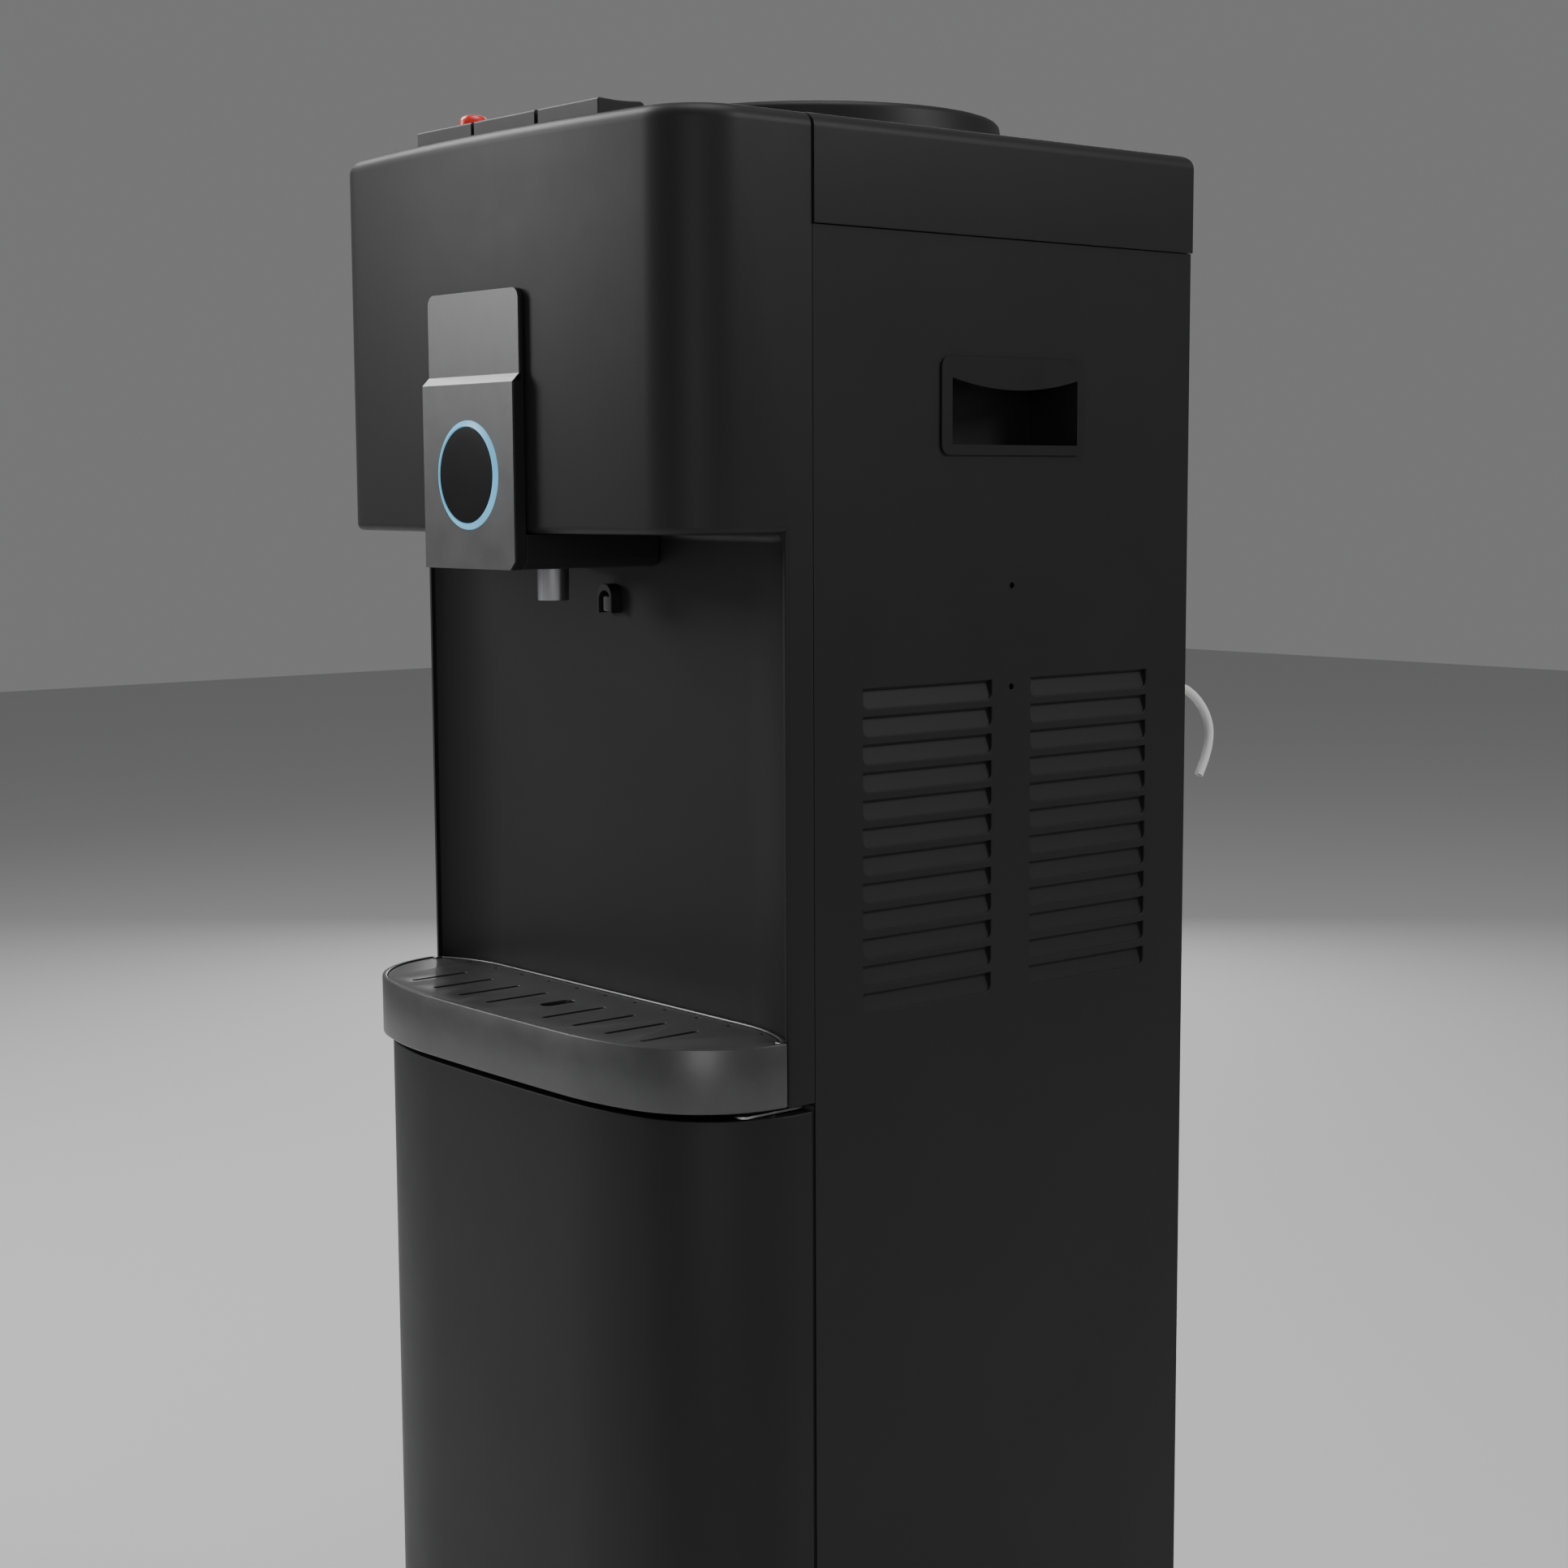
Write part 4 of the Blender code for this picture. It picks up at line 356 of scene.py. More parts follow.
def sprayed(name, colour, roughness, metallic):
    """Silver-grey sprayed plastic: fine metal flake, slow mottling and a soft satin."""
    made, nodes, links = new_material(name)
    shader = nodes["Principled BSDF"]
    place = node(nodes, "ShaderNodeTexCoord")
    flake = node(nodes, "ShaderNodeTexVoronoi", Scale=5200.0)
    mottle = node(nodes, "ShaderNodeTexNoise", Scale=55.0, Detail=5.0, Roughness=0.6)
    fine = node(nodes, "ShaderNodeTexNoise", Scale=900.0, Detail=2.0)
    for texture in (flake, mottle, fine):
        links.new(place.outputs["Object"], texture.inputs["Vector"])
    tint = ramp(nodes, links, mottle.outputs["Fac"], [(0.2, shade(colour, 0.9)), (0.8, shade(colour, 1.12))])
    sparkle = ramp(nodes, links, flake.outputs["Distance"], [(0.0, 1.0), (1.0, 0.82)])
    mixed = node(nodes, "ShaderNodeMix", data_type="RGBA", blend_type="MULTIPLY")
    mixed.inputs["Factor"].default_value = 0.7
    links.new(tint, mixed.inputs["A"])
    links.new(sparkle, mixed.inputs["B"])
    links.new(mixed.outputs["Result"], shader.inputs["Base Color"])
    gloss = node(nodes, "ShaderNodeMapRange")
    gloss.inputs["To Min"].default_value = roughness - 0.05
    gloss.inputs["To Max"].default_value = roughness + 0.07
    links.new(mottle.outputs["Fac"], gloss.inputs["Value"])
    links.new(gloss.outputs["Result"], shader.inputs["Roughness"])
    bump = node(nodes, "ShaderNodeBump", Strength=0.12, Distance=0.0001)
    links.new(fine.outputs["Fac"], bump.inputs["Height"])
    links.new(bump.outputs["Normal"], shader.inputs["Normal"])
    shader.inputs["Metallic"].default_value = metallic
    return made


def brushed(name, colour, roughness, axis_scale):
    """Brushed metal: streaks stretched along one axis by the scale of the coordinates."""
    made, nodes, links = new_material(name)
    shader = nodes["Principled BSDF"]
    place = node(nodes, "ShaderNodeTexCoord")
    stretch = node(nodes, "ShaderNodeMapping")
    stretch.inputs["Scale"].default_value = axis_scale
    links.new(place.outputs["Object"], stretch.inputs["Vector"])
    streak = node(nodes, "ShaderNodeTexNoise", Scale=1.0, Detail=5.0, Roughness=0.7)
    links.new(stretch.outputs["Vector"], streak.inputs["Vector"])
    tint = ramp(nodes, links, streak.outputs["Fac"], [(0.3, shade(colour, 0.82)), (0.7, shade(colour, 1.1))])
    links.new(tint, shader.inputs["Base Color"])
    gloss = node(nodes, "ShaderNodeMapRange")
    gloss.inputs["To Min"].default_value = roughness - 0.06
    gloss.inputs["To Max"].default_value = roughness + 0.1
    links.new(streak.outputs["Fac"], gloss.inputs["Value"])
    links.new(gloss.outputs["Result"], shader.inputs["Roughness"])
    bump = node(nodes, "ShaderNodeBump", Strength=0.15, Distance=0.0001)
    links.new(streak.outputs["Fac"], bump.inputs["Height"])
    links.new(bump.outputs["Normal"], shader.inputs["Normal"])
    shader.inputs["Metallic"].default_value = 1.0
    return made


def lit(name, colour, strength):
    """Translucent ring lit from behind: brighter patches where the lamps sit."""
    made, nodes, links = new_material(name)
    shader = nodes["Principled BSDF"]
    place = node(nodes, "ShaderNodeTexCoord")
    patches = node(nodes, "ShaderNodeTexNoise", Scale=60.0, Detail=1.0)
    links.new(place.outputs["Object"], patches.inputs["Vector"])
    tint = ramp(nodes, links, patches.outputs["Fac"], [(0.3, shade(colour, 0.86)), (0.7, shade(colour, 1.05))])
    links.new(tint, shader.inputs["Base Color"])
    links.new(tint, shader.inputs["Emission Color"])
    shader.inputs["Emission Strength"].default_value = strength
    shader.inputs["Roughness"].default_value = 0.3
    return made


BLACK = moulded("black_moulded", (0.016, 0.016, 0.0165), 0.46, depth=0.03, spread=0.04, specular=0.3)
BLACK_FINE = moulded("black_fine", (0.014, 0.014, 0.0145), 0.36, grain=2200, depth=0.02, specular=0.4)
GLOSS = moulded("gloss_black", (0.013, 0.013, 0.0135), 0.24, grain=300, depth=0.004, spread=0.03, specular=0.12)
GREY = moulded("grey_moulded", (0.1, 0.1, 0.105), 0.5)
WHITE = moulded("white_moulded", (0.7, 0.7, 0.68), 0.42, grain=1100)
RED = moulded("red_moulded", (0.85, 0.03, 0.02), 0.3, grain=1600, depth=0.02, coat=0.3)
RUBBER = moulded("black_rubber", (0.018, 0.018, 0.018), 0.75, grain=700, depth=0.12)
SILICONE = moulded("silicone", (0.75, 0.75, 0.72), 0.38, grain=500, depth=0.02)
HOSE = moulded("white_hose", (0.82, 0.82, 0.81), 0.4, grain=600, depth=0.03)
FOAM = moulded("white_foam", (0.8, 0.8, 0.77), 0.85, grain=420, depth=0.4)
BOARD = moulded("board_green", (0.015, 0.13, 0.05), 0.4, grain=260, depth=0.05)
LENS = moulded("clear_lens", (0.1, 0.1, 0.105), 0.2, grain=200, depth=0.01, coat=0.5)
PAINT = moulded("black_paint", (0.02, 0.02, 0.021), 0.45, grain=420, depth=0.1)
SILVER = sprayed("silver_sprayed", (0.12, 0.12, 0.122), 0.34, 0.7)
STEEL = brushed("brushed_steel", (0.5, 0.5, 0.51), 0.32, (60, 60, 1400))
TURNED_STEEL = brushed("turned_steel", (0.36, 0.36, 0.37), 0.3, (1500, 1500, 25))
ALUMINIUM = brushed("milled_aluminium", (0.66, 0.66, 0.68), 0.36, (40, 1200, 1200))
BLUE = lit("lit_blue", (0.14, 0.47, 0.72), 0.75)


# --- Outlines --------------------------------------------------------------------------------

def bowed(reach, radii, inset, back_y):
    """Bowed front with shoulders and round corners, from the left back end to the right back end."""
    front_r, shoulder_r, corner_r = radii
    lean = math.asin(SHOULDER_X / front_r)
    front_y = front_r - reach
    turn_x = (front_r - shoulder_r) * math.sin(lean)
    turn_y = front_y - (front_r - shoulder_r) * math.cos(lean)
    corner_x = HALF - corner_r
    swing = math.asin((corner_x - turn_x) / (shoulder_r - corner_r))
    corner_y = turn_y - (shoulder_r - corner_r) * math.cos(swing)
    lean, swing = math.degrees(lean), math.degrees(swing)
    end = 0.0
    if back_y < corner_y:
        end = math.degrees(math.asin((back_y - corner_y) / (corner_r - inset)))
    right = arc(turn_x, turn_y, shoulder_r - inset, lean - 90, swing - 90, 10)
    right += arc(corner_x, corner_y, corner_r - inset, swing - 90, end, 22)[1:]
    if back_y > corner_y:
        right.append((HALF - inset, back_y))
    front = arc(0, front_y, front_r - inset, -90 - lean, -90 + lean, 24)
    return mirrored(right) + front[1:-1] + right


def mirrored(right):
    return [(-x, y) for x, y in reversed(right)]


def head_outline(inset, back_y):
    return bowed(HEAD_REACH, HEAD_RADII, inset, back_y)


def door_outline(inset, back_y):
    return bowed(DOOR_REACH, DOOR_RADII, inset, back_y)


def niche_curve(gap, end_x, steps=28):
    radius = NICHE_R - gap
    start = math.degrees(math.acos((end_x - NICHE_FLAT_HALF) / radius))
    return arc(NICHE_FLAT_HALF, NICHE_WALL_Y - NICHE_R, radius, start, 90, steps)


def tray_outline(inset):
    side_y = FLANGE_Y - 1.2 * MM - inset
    front = bowed(TRAY_REACH, TRAY_RADII, inset, side_y)
    end_x = HALF - FLANGE_LIP - RUN - inset
    right_back = [(end_x, side_y)] + niche_curve(RUN + inset, end_x)
    return front + right_back + mirrored(right_back)


def cover_outline(inset):
    half = HALF + OVERHANG - inset
    back_y = DEPTH + OVERHANG - inset
    radius = max(2 * MM - inset, 0.25 * MM)
    right = arc(half - radius, back_y - radius, radius, 0, 90, 8)
    return [(-half, SEAM_HALF), (half, SEAM_HALF)] + right + mirrored(right)


def layered(outline_of, levels):
    return loft([[(x, y, z) for x, y in outline_of(inset)] for inset, z in levels])


def fillet(radius, height, upward, steps=8):
    angles = [math.pi / 2 * i / steps for i in range(steps + 1)]
    sign = 1 if upward else -1
    levels = [(radius * (1 - math.cos(a)), height - sign * radius * (1 - math.sin(a))) for a in angles]
    return levels if upward else levels[::-1]


# --- Front -----------------------------------------------------------------------------------

def build_head():
    """Bowed head with the flanges beside the niche moulded on."""
    levels = fillet(HEAD_LOW_FILLET, HEAD_LOW, False, 6) + fillet(TOP_FILLET, TOP, True)
    outer = layered(lambda inset: head_outline(inset, -SEAM_HALF), levels)
    inner = [(WALL, HEAD_LOW + WALL), (WALL, TOP - TOP_FILLET), (TOP_FILLET, TOP - WALL)]
    hollow = layered(lambda inset: head_outline(inset, PAST), inner)
    keys_low, keys_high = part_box("key_hot")[0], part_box("key_cold")[1]
    slot = box(keys_low.x - RUN, keys_high.x + RUN, KEY_FRONT_Y - RUN, KEY_BACK_Y + RUN, TOP - PAST, TOP + PAST)
    outlet = box(-PLATE_HALF + 5 * MM, PLATE_HALF - 5 * MM, -73 * MM, -8 * MM, HEAD_LOW - PAST, HEAD_LOW + PAST)
    head = raw_object("head_moulding", outer)
    boolean(head, hollow, "DIFFERENCE")
    boolean(head, joined([slot, outlet]), "DIFFERENCE")
    boolean(head, joined([niche_pillar(-1), niche_pillar(1)]), "UNION")
    boolean(head, joined([mouth_corner(-1), mouth_corner(1)]), "UNION")
    finished(head, BLACK, "cabinet", ["head_shell"], edge=0.25 * MM, slot="black_plastic", angle=35)


def niche_pillar(side):
    """Flange beside the niche, with a round nose."""
    inner = HALF - FLANGE_LIP
    nose = arc(HALF - FLANGE_NOSE_R, FLANGE_Y + FLANGE_NOSE_R, FLANGE_NOSE_R, -90, 0, 8)
    outline = [(inner, -SEAM_HALF), (inner, FLANGE_Y)] + nose + [(HALF, -SEAM_HALF)]
    return prism([(side * x, y) for x, y in outline], TRAY_LOW, HEAD_LOW + HEAD_LOW_FILLET + 0.6 * MM)


def mouth_corner(side):
    """Web that rounds an upper corner of the niche's mouth."""
    inner = HALF - FLANGE_LIP
    curve = arc(inner - MOUTH_CORNER_R, HEAD_LOW - MOUTH_CORNER_R, MOUTH_CORNER_R, 0, 90, 12)
    bite = 0.6 * MM
    outline = curve + [(inner - MOUTH_CORNER_R, HEAD_LOW + bite), (inner + bite, HEAD_LOW + bite),
                       (inner + bite, HEAD_LOW - MOUTH_CORNER_R)]
    return prism([(side * x, z) for x, z in outline], FLANGE_Y + TOUCH, FLANGE_Y + 1.7 * MM, "Y")


def build_niche():
    """Concave wall of the niche, with a cove where it meets the underside of the head."""
    end_x = HALF - FLANGE_LIP - TOUCH
    back = niche_curve(-WALL, end_x)[::-1]
    high = HEAD_LOW - TOUCH
    fade = 20 * MM
    rows = []
    angles = [math.radians(90 * i / 8) for i in range(9)]
    levels = [(0.0, TRAY_LOW)] + [(NICHE_COVE * (1 - math.cos(a)), high - NICHE_COVE * (1 - math.sin(a)))
                                  for a in angles]
    for cove, z in levels:
        front = []
        for x, y in niche_curve(0, end_x):
            share = min(1.0, max(0.0, (end_x - x) / fade))
            reach = cove * share * share * (3 - 2 * share)
            away = Vector((NICHE_FLAT_HALF - x, NICHE_WALL_Y - NICHE_R - y)).normalized()
            front.append((x + away.x * reach, y + away.y * reach))
        right = back + front
        rows.append([(x, y, z) for x, y in right + mirrored(right)])
    piece("niche_moulding", loft(rows), BLACK, "cabinet", ["niche_panel"], edge=0, slot="black_plastic", angle=50)


def plate_shape(profile, top_corner, low_corner):
    """Plate profile across the front, with round upper and chamfered lower corners."""
    shape = prism(profile, -PLATE_HALF, PLATE_HALF, "X")
    heights = [z for _, z in profile]
    for level, size, steps in ((max(heights), top_corner, 8), (min(heights), low_corner, 1)):
        corners = [edge for edge in shape.edges
                   if all(abs(vert.co.z - level) < TOUCH for vert in edge.verts)
                   and abs(edge.verts[0].co.x - edge.verts[1].co.x) < TOUCH]
        if size:
            bmesh.ops.bevel(shape, geom=corners, offset=size, segments=steps, affect="EDGES", profile=0.5)
    concave_ends = [face for face in shape.faces if len(face.verts) > 4]
    bmesh.ops.triangulate(shape, faces=concave_ends, quad_method="BEAUTY", ngon_method="EAR_CLIP")
    return shape


def build_front_plate():
    """Silver skin on a black backing, with a step between its two levels."""
    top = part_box("front_plate")[1].z
    face = [(PLATE_LOWER_Y, HOUSING_LOW), (PLATE_LOWER_Y, PLATE_STEP - 4 * MM), (PLATE_UPPER_Y, PLATE_STEP),
            (PLATE_UPPER_Y, top)]
    behind = [(y + PLATE_SKIN, z + (PLATE_SKIN * 0.4 if 0 < k < 3 else 0)) for k, (y, z) in enumerate(face)]
    bore = prism(circle(0, ring_centre(), RING_R + 0.1 * MM, 96), PLATE_LOWER_Y - PAST, PLATE_BACK_Y + PAST, "Y")
    piece("plate_skin", plate_shape(face + behind[::-1], PLATE_TOP_R, PLATE_CHAMFER), SILVER, "cabinet",
          ["front_plate"], cuts=[bore.copy()], segments=3, slot="silver_plastic", angle=30)
    # two boxes that overlap a little behind the step
    join = PLATE_STEP - 3.5 * MM
    lower_y, upper_y = PLATE_LOWER_Y + PLATE_SKIN, PLATE_UPPER_Y + PLATE_SKIN
    lower = [(lower_y, HOUSING_LOW), (lower_y, join), (PLATE_BACK_Y, join), (PLATE_BACK_Y, HOUSING_LOW)]
    upper = [(upper_y, join - RUN), (upper_y, top), (PLATE_BACK_Y, top), (PLATE_BACK_Y, join - RUN)]
    piece("plate_backing", plate_shape(lower, 0, PLATE_CHAMFER), BLACK, "cabinet", ["front_plate"],
          joins=[plate_shape(upper, PLATE_TOP_R, 0)], cuts=[bore], edge=0, slot="black_plastic", angle=30)


def ring_centre():
    low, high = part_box("ring_light")
    return (low.z + high.z) / 2


def build_indicator():
    """Lit ring and the slightly domed black disc in it."""
    centre = (0, 0, ring_centre())
    back = PLATE_BACK_Y - TOUCH
    face = PLATE_LOWER_Y - RING_PROUD
    ring = [(RING_R, PLATE_LOWER_Y), (RING_R, back), (RING_INNER_R, back), (RING_INNER_R, face),
            (RING_INNER_R + 0.2 * MM, face)]
    piece("ring_glow", turned(ring, centre, "Y", 128), BLUE, "cabinet", ["ring_light"], edge=0.08 * MM,
          slot="ring_blue")
    disc_r = RING_INNER_R - TOUCH
    disc = [(0, face + 0.1 * MM)] + [(disc_r * k / 6, face + 0.1 * MM * (1 + k / 6)) for k in range(1, 6)]
    disc += [(disc_r - 0.4 * MM, face + 0.25 * MM), (disc_r, face + 0.6 * MM), (disc_r, back), (0, back)]
    piece("ring_window", turned(disc, centre, "Y", 128), GLOSS, "cabinet", ["ring_disc"], edge=0,
          slot="gloss_black")


def build_spout():
    """Housing with chamfered lower edges, and the plain turned spout."""
    top = HEAD_LOW - TOUCH
    y0, y1 = PLATE_BACK_Y + TOUCH, -3 * MM

    def section(inset, high):
        half, low = PLATE_HALF - inset, HOUSING_LOW + inset
        chamfer = [(0.0, 5.6), (0.35, 4.1), (1.1, 2.7), (2.3, 1.3), (3.7, 0.35), (5.2, 0.0)]
        right = [(half - u * MM, low + v * MM) for u, v in chamfer]
        return [(half, high)] + right + mirrored(right) + [(-half, high)]

    hollow = prism(section(WALL, top + PAST), y0 + WALL, y1 - WALL, "Y")
    bore = prism(circle(0, SPOUT_Y, SPOUT_R + TOUCH, 48), HOUSING_LOW - PAST, HOUSING_LOW + PAST)
    piece("housing_moulding", prism(section(0, top), y0, y1, "Y"), BLACK, "cabinet", ["spout_housing"],
          cuts=[hollow, bore], slot="black_plastic", angle=35)
    low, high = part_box("spout")[0].z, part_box("spout")[1].z
    bore_top = low + 24 * MM
    profile = [(SPOUT_BORE_R, low + 0.5 * MM), (SPOUT_BORE_R + 0.4 * MM, low), (SPOUT_R - 0.7 * MM, low),
               (SPOUT_R - 0.2 * MM, low + 0.2 * MM), (SPOUT_R, low + 0.7 * MM), (SPOUT_R, high), (0, high),
               (0, bore_top), (SPOUT_BORE_R, bore_top)]
    piece("spout_turned", turned(profile, (0, SPOUT_Y, 0)), TURNED_STEEL, "cabinet", ["spout"], edge=0,
          slot="spout_metal")


def build_night_light():
    """Arched hood, open below, over a half-round lens."""
    low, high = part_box("night_light_hood")
    half, wall = high.x, 1.3 * MM
    front, back = low.y - SEAM_Y, high.y - SEAM_Y
    crown_z = high.z - half

    def arch(r, base, crown):
        return [(-r, base), (r, base)] + arc(0, crown, r, 0, 180, 24)

    hood = prism(arch(half, low.z, crown_z), front, back, "Y")
    inner = half - wall
    hollow = prism(arch(inner, low.z - PAST, crown_z - 2.2 * MM), front - PAST, back - wall, "Y")
    piece("night_light_cover", hood, BLACK_FINE, "cabinet", ["night_light_hood"], cuts=[hollow],
          edge=0.35 * MM, segments=3, slot="black_plastic")
    lens_r = inner - TOUCH
    flat_y = back - wall - TOUCH
    levels = [(0.5 * MM, low.z + MM), (0, low.z + 1.5 * MM), (0, crown_z - 0.8 * MM),
              (0.5 * MM, crown_z - TOUCH)]
    lens = loft([[(x, y, z) for x, y in arc(0, flat_y, lens_r - inset, 180, 360, 24)] for inset, z in levels])
    piece("night_light_glass", lens, LENS, "cabinet", ["night_light_lens"], edge=0, slot="lens")


def build_keys():
    for name in ("hot", "room", "cold"):
        low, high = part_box(f"key_{name}")
        under = TOP + KEY_RISE - KEY_HEIGHT
        middle_x = 0.0 if name == "room" else (low.x + high.x) / 2
        middle_y = (KEY_FRONT_Y + KEY_BACK_Y) / 2
        stem = prism(circle(middle_x, middle_y, KEY_STEM_R), low.z, under + 0.6 * MM)
        holes = [build_lock()] if name == "hot" else []
        piece(f"key_cap_{name}", prism(key_profile(high.z, under), low.x, high.x, "X"), BLACK, f"key_{name}",
              [f"key_{name}"], joins=[stem], cuts=holes, edge=0.6 * MM, segments=3, slot="black_plastic", angle=30)


def key_profile(top, under):
    """Side of a key, whose finger face dips slightly between its front and back edges."""
    nose, crown, dip = 1.2 * MM, 3 * MM, 0.5 * MM
    front = arc(KEY_FRONT_Y + nose, top - nose, nose, 180, 90, 6)
    back = arc(KEY_BACK_Y - crown, top - crown, crown, 90, 0, 10)
    start, end = KEY_FRONT_Y + nose, KEY_BACK_Y - crown
    face = [(start + (end - start) * i / 12, top - dip * math.sin(math.pi * i / 12)) for i in range(1, 12)]
    return [(KEY_FRONT_Y, under)] + front + face + back + [(KEY_BACK_Y, under)]


def build_lock():
    """Domed cap of the child lock; gives the hole that it needs in its key."""
    low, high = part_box("child_lock_button")
    x, y = (low.x + high.x) / 2, (low.y + high.y) / 2 - SEAM_Y
    radius = (high.x - low.x) / 2
    crown_in, crown_drop = 3.5 * MM, 5.4 * MM
    crown = []
    for i in range(15):
        a = math.radians(90 * i / 14)
        crown.append((radius - crown_in * (1 - math.cos(a)), high.z - 0.15 * MM - crown_drop * (1 - math.sin(a))))
    foot = [(0, low.z), (radius - TOUCH, low.z), (radius, low.z + TOUCH)]
    piece("child_lock_cap", turned(foot + crown + [(0, high.z)], (x, y, 0)), RED, "child_lock",
          ["child_lock_button"], edge=0, slot="red_plastic")
    return prism(circle(x, y, radius + TOUCH, 64), low.z - 3 * MM, high.z + PAST)


# --- Tray ------------------------------------------------------------------------------------

def build_tray():
    """Tray with a ledge that the grille lies on."""
    ledge = TRAY_TOP - 5 * MM
    levels = fillet(1.5 * MM, TRAY_LOW, False, 4)
    levels += [(0, TRAY_TOP - 0.7 * MM), (0.2 * MM, TRAY_TOP - 0.2 * MM), (0.7 * MM, TRAY_TOP)]
    levels += [(2.1 * MM, TRAY_TOP), (2.5 * MM, TRAY_TOP - 0.4 * MM), (2.5 * MM, ledge), (5 * MM, ledge),
               (5 * MM, TRAY_LOW + 5 * MM), (7 * MM, TRAY_LOW + WALL)]
    piece("tray_finished", layered(tray_outline, levels), SILVER, "drip_tray", ["drip_tray"], edge=0,
          slot="silver_plastic")


def build_grille():
    """Grille with a finger hole amid its slots, and a row of dimples behind them."""
    low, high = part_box("drip_grille")[0].z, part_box("drip_grille")[1].z
    levels = [(GRILLE_INSET, low), (GRILLE_INSET, high - 0.5 * MM), (GRILLE_INSET + 0.15 * MM, high - 0.15 * MM),
              (GRILLE_INSET + 0.5 * MM, high)]
    slots = []
    for i in range(-4, 5):
        x = i * GRILLE_PITCH
        start = -68 * MM + GRILLE_FALL * (x / HALF) ** 4
        hole = rounded(x - 1.6 * MM, x + 1.6 * MM, start, -30 * MM, 1.5 * MM, 6)
        if i == 0:
            hole = rounded(-4 * MM, 4 * MM, -51 * MM, -31 * MM, 3.9 * MM, 8)
        slots.append(prism(hole, low - PAST, high + PAST))
    dimples = [prism(circle(i * GRILLE_PITCH, -10.5 * MM, 1.3 * MM, 16), high - 0.8 * MM, high + PAST)
               for i in range(-5, 6)]
    piece("grille_finished", layered(tray_outline, levels), SILVER, "drip_grille", ["drip_grille"],
          cuts=[joined(slots), joined(dimples)], edge=0.25 * MM, slot="silver_plastic", angle=40)


# --- Body ------------------------------------------------------------------------------------

def build_cover():
    levels = [(0.3 * MM, COVER_LOW), (0, COVER_LOW + 0.3 * MM)] + fillet(TOP_FILLET, TOP, True)
    inner = [(WALL, COVER_LOW - PAST), (WALL, TOP - TOP_FILLET), (TOP_FILLET, TOP - WALL)]
    hollow = layered(cover_outline, inner)
    hole = prism(circle(0, MID_Y, COLLAR_HOLE_R, 128), TOP - WALL - PAST, TOP + PAST)
    piece("cover_moulding", layered(cover_outline, levels), BLACK, "cabinet", ["top_cover"],
          cuts=[hollow, hole], edge=0.35 * MM, slot="black_plastic", angle=35)


def build_collar():
    """Collar with a rounded rim, and the funnel and throat that hang from it."""
    base_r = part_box("bottle_collar")[1].x
    edge_x, rest = base_r - COLLAR_FLARE - COLLAR_EDGE_R, TOP + TOUCH
    rim = arc(edge_x, COLLAR_TOP - COLLAR_EDGE_R, COLLAR_EDGE_R, 8, 90, 12)
    lip = arc(edge_x - COLLAR_FLAT, COLLAR_TOP - COLLAR_LIP_R, COLLAR_LIP_R, 90, 180, 6)
    cone_low, throat_low = FUNNEL_LOW + THROAT_HEIGHT, FUNNEL_LOW + COLLAR_WALL
    inside = [(88 * MM, rest), (THROAT_R - COLLAR_WALL, cone_low), (THROAT_R - COLLAR_WALL, throat_low),
              (PROBE_R, throat_low)]
    outside = [(PROBE_R, FUNNEL_LOW), (THROAT_R, FUNNEL_LOW), (THROAT_R, cone_low - 2 * MM),
               (COLLAR_SEAT_R - COLLAR_WALL, TOP - 5 * MM), (COLLAR_SEAT_R, TOP - WALL), (COLLAR_SEAT_R, rest)]
    profile = [(base_r, rest)] + rim + lip + inside + outside
    piece("collar_moulding", turned(profile, (0, MID_Y, 0), steps=160), BLACK, "collar", ["bottle_collar"],
          edge=0.25 * MM, slot="black_plastic", angle=30)


def louvre_windows():
    """Front, back, foot and head of each louvre window, in two columns."""
    for row in range(LOUVRE_ROWS):
        z1 = TOP - LOUVRE_DROP - row * LOUVRE_PITCH
        for start in (MID_Y - LOUVRE_GAP / 2 - LOUVRE_LENGTH, MID_Y + LOUVRE_GAP / 2):
            yield start, start + LOUVRE_LENGTH, z1 - LOUVRE_HEIGHT, z1


def louvre_outline(y0, y1, z0, z1, grow=0.0):
    """Window with sharp upper corners and round lower ones."""
    radius = LOUVRE_R + grow
    y0, y1, z0, z1 = y0 - grow, y1 + grow, z0 - grow, z1 + grow
    right = arc(y1 - radius, z0 + radius, radius, -90, 0, 10)
    left = arc(y0 + radius, z0 + radius, radius, 180, 270, 10)
    return left + right + [(y1, z1), (y0, z1)]


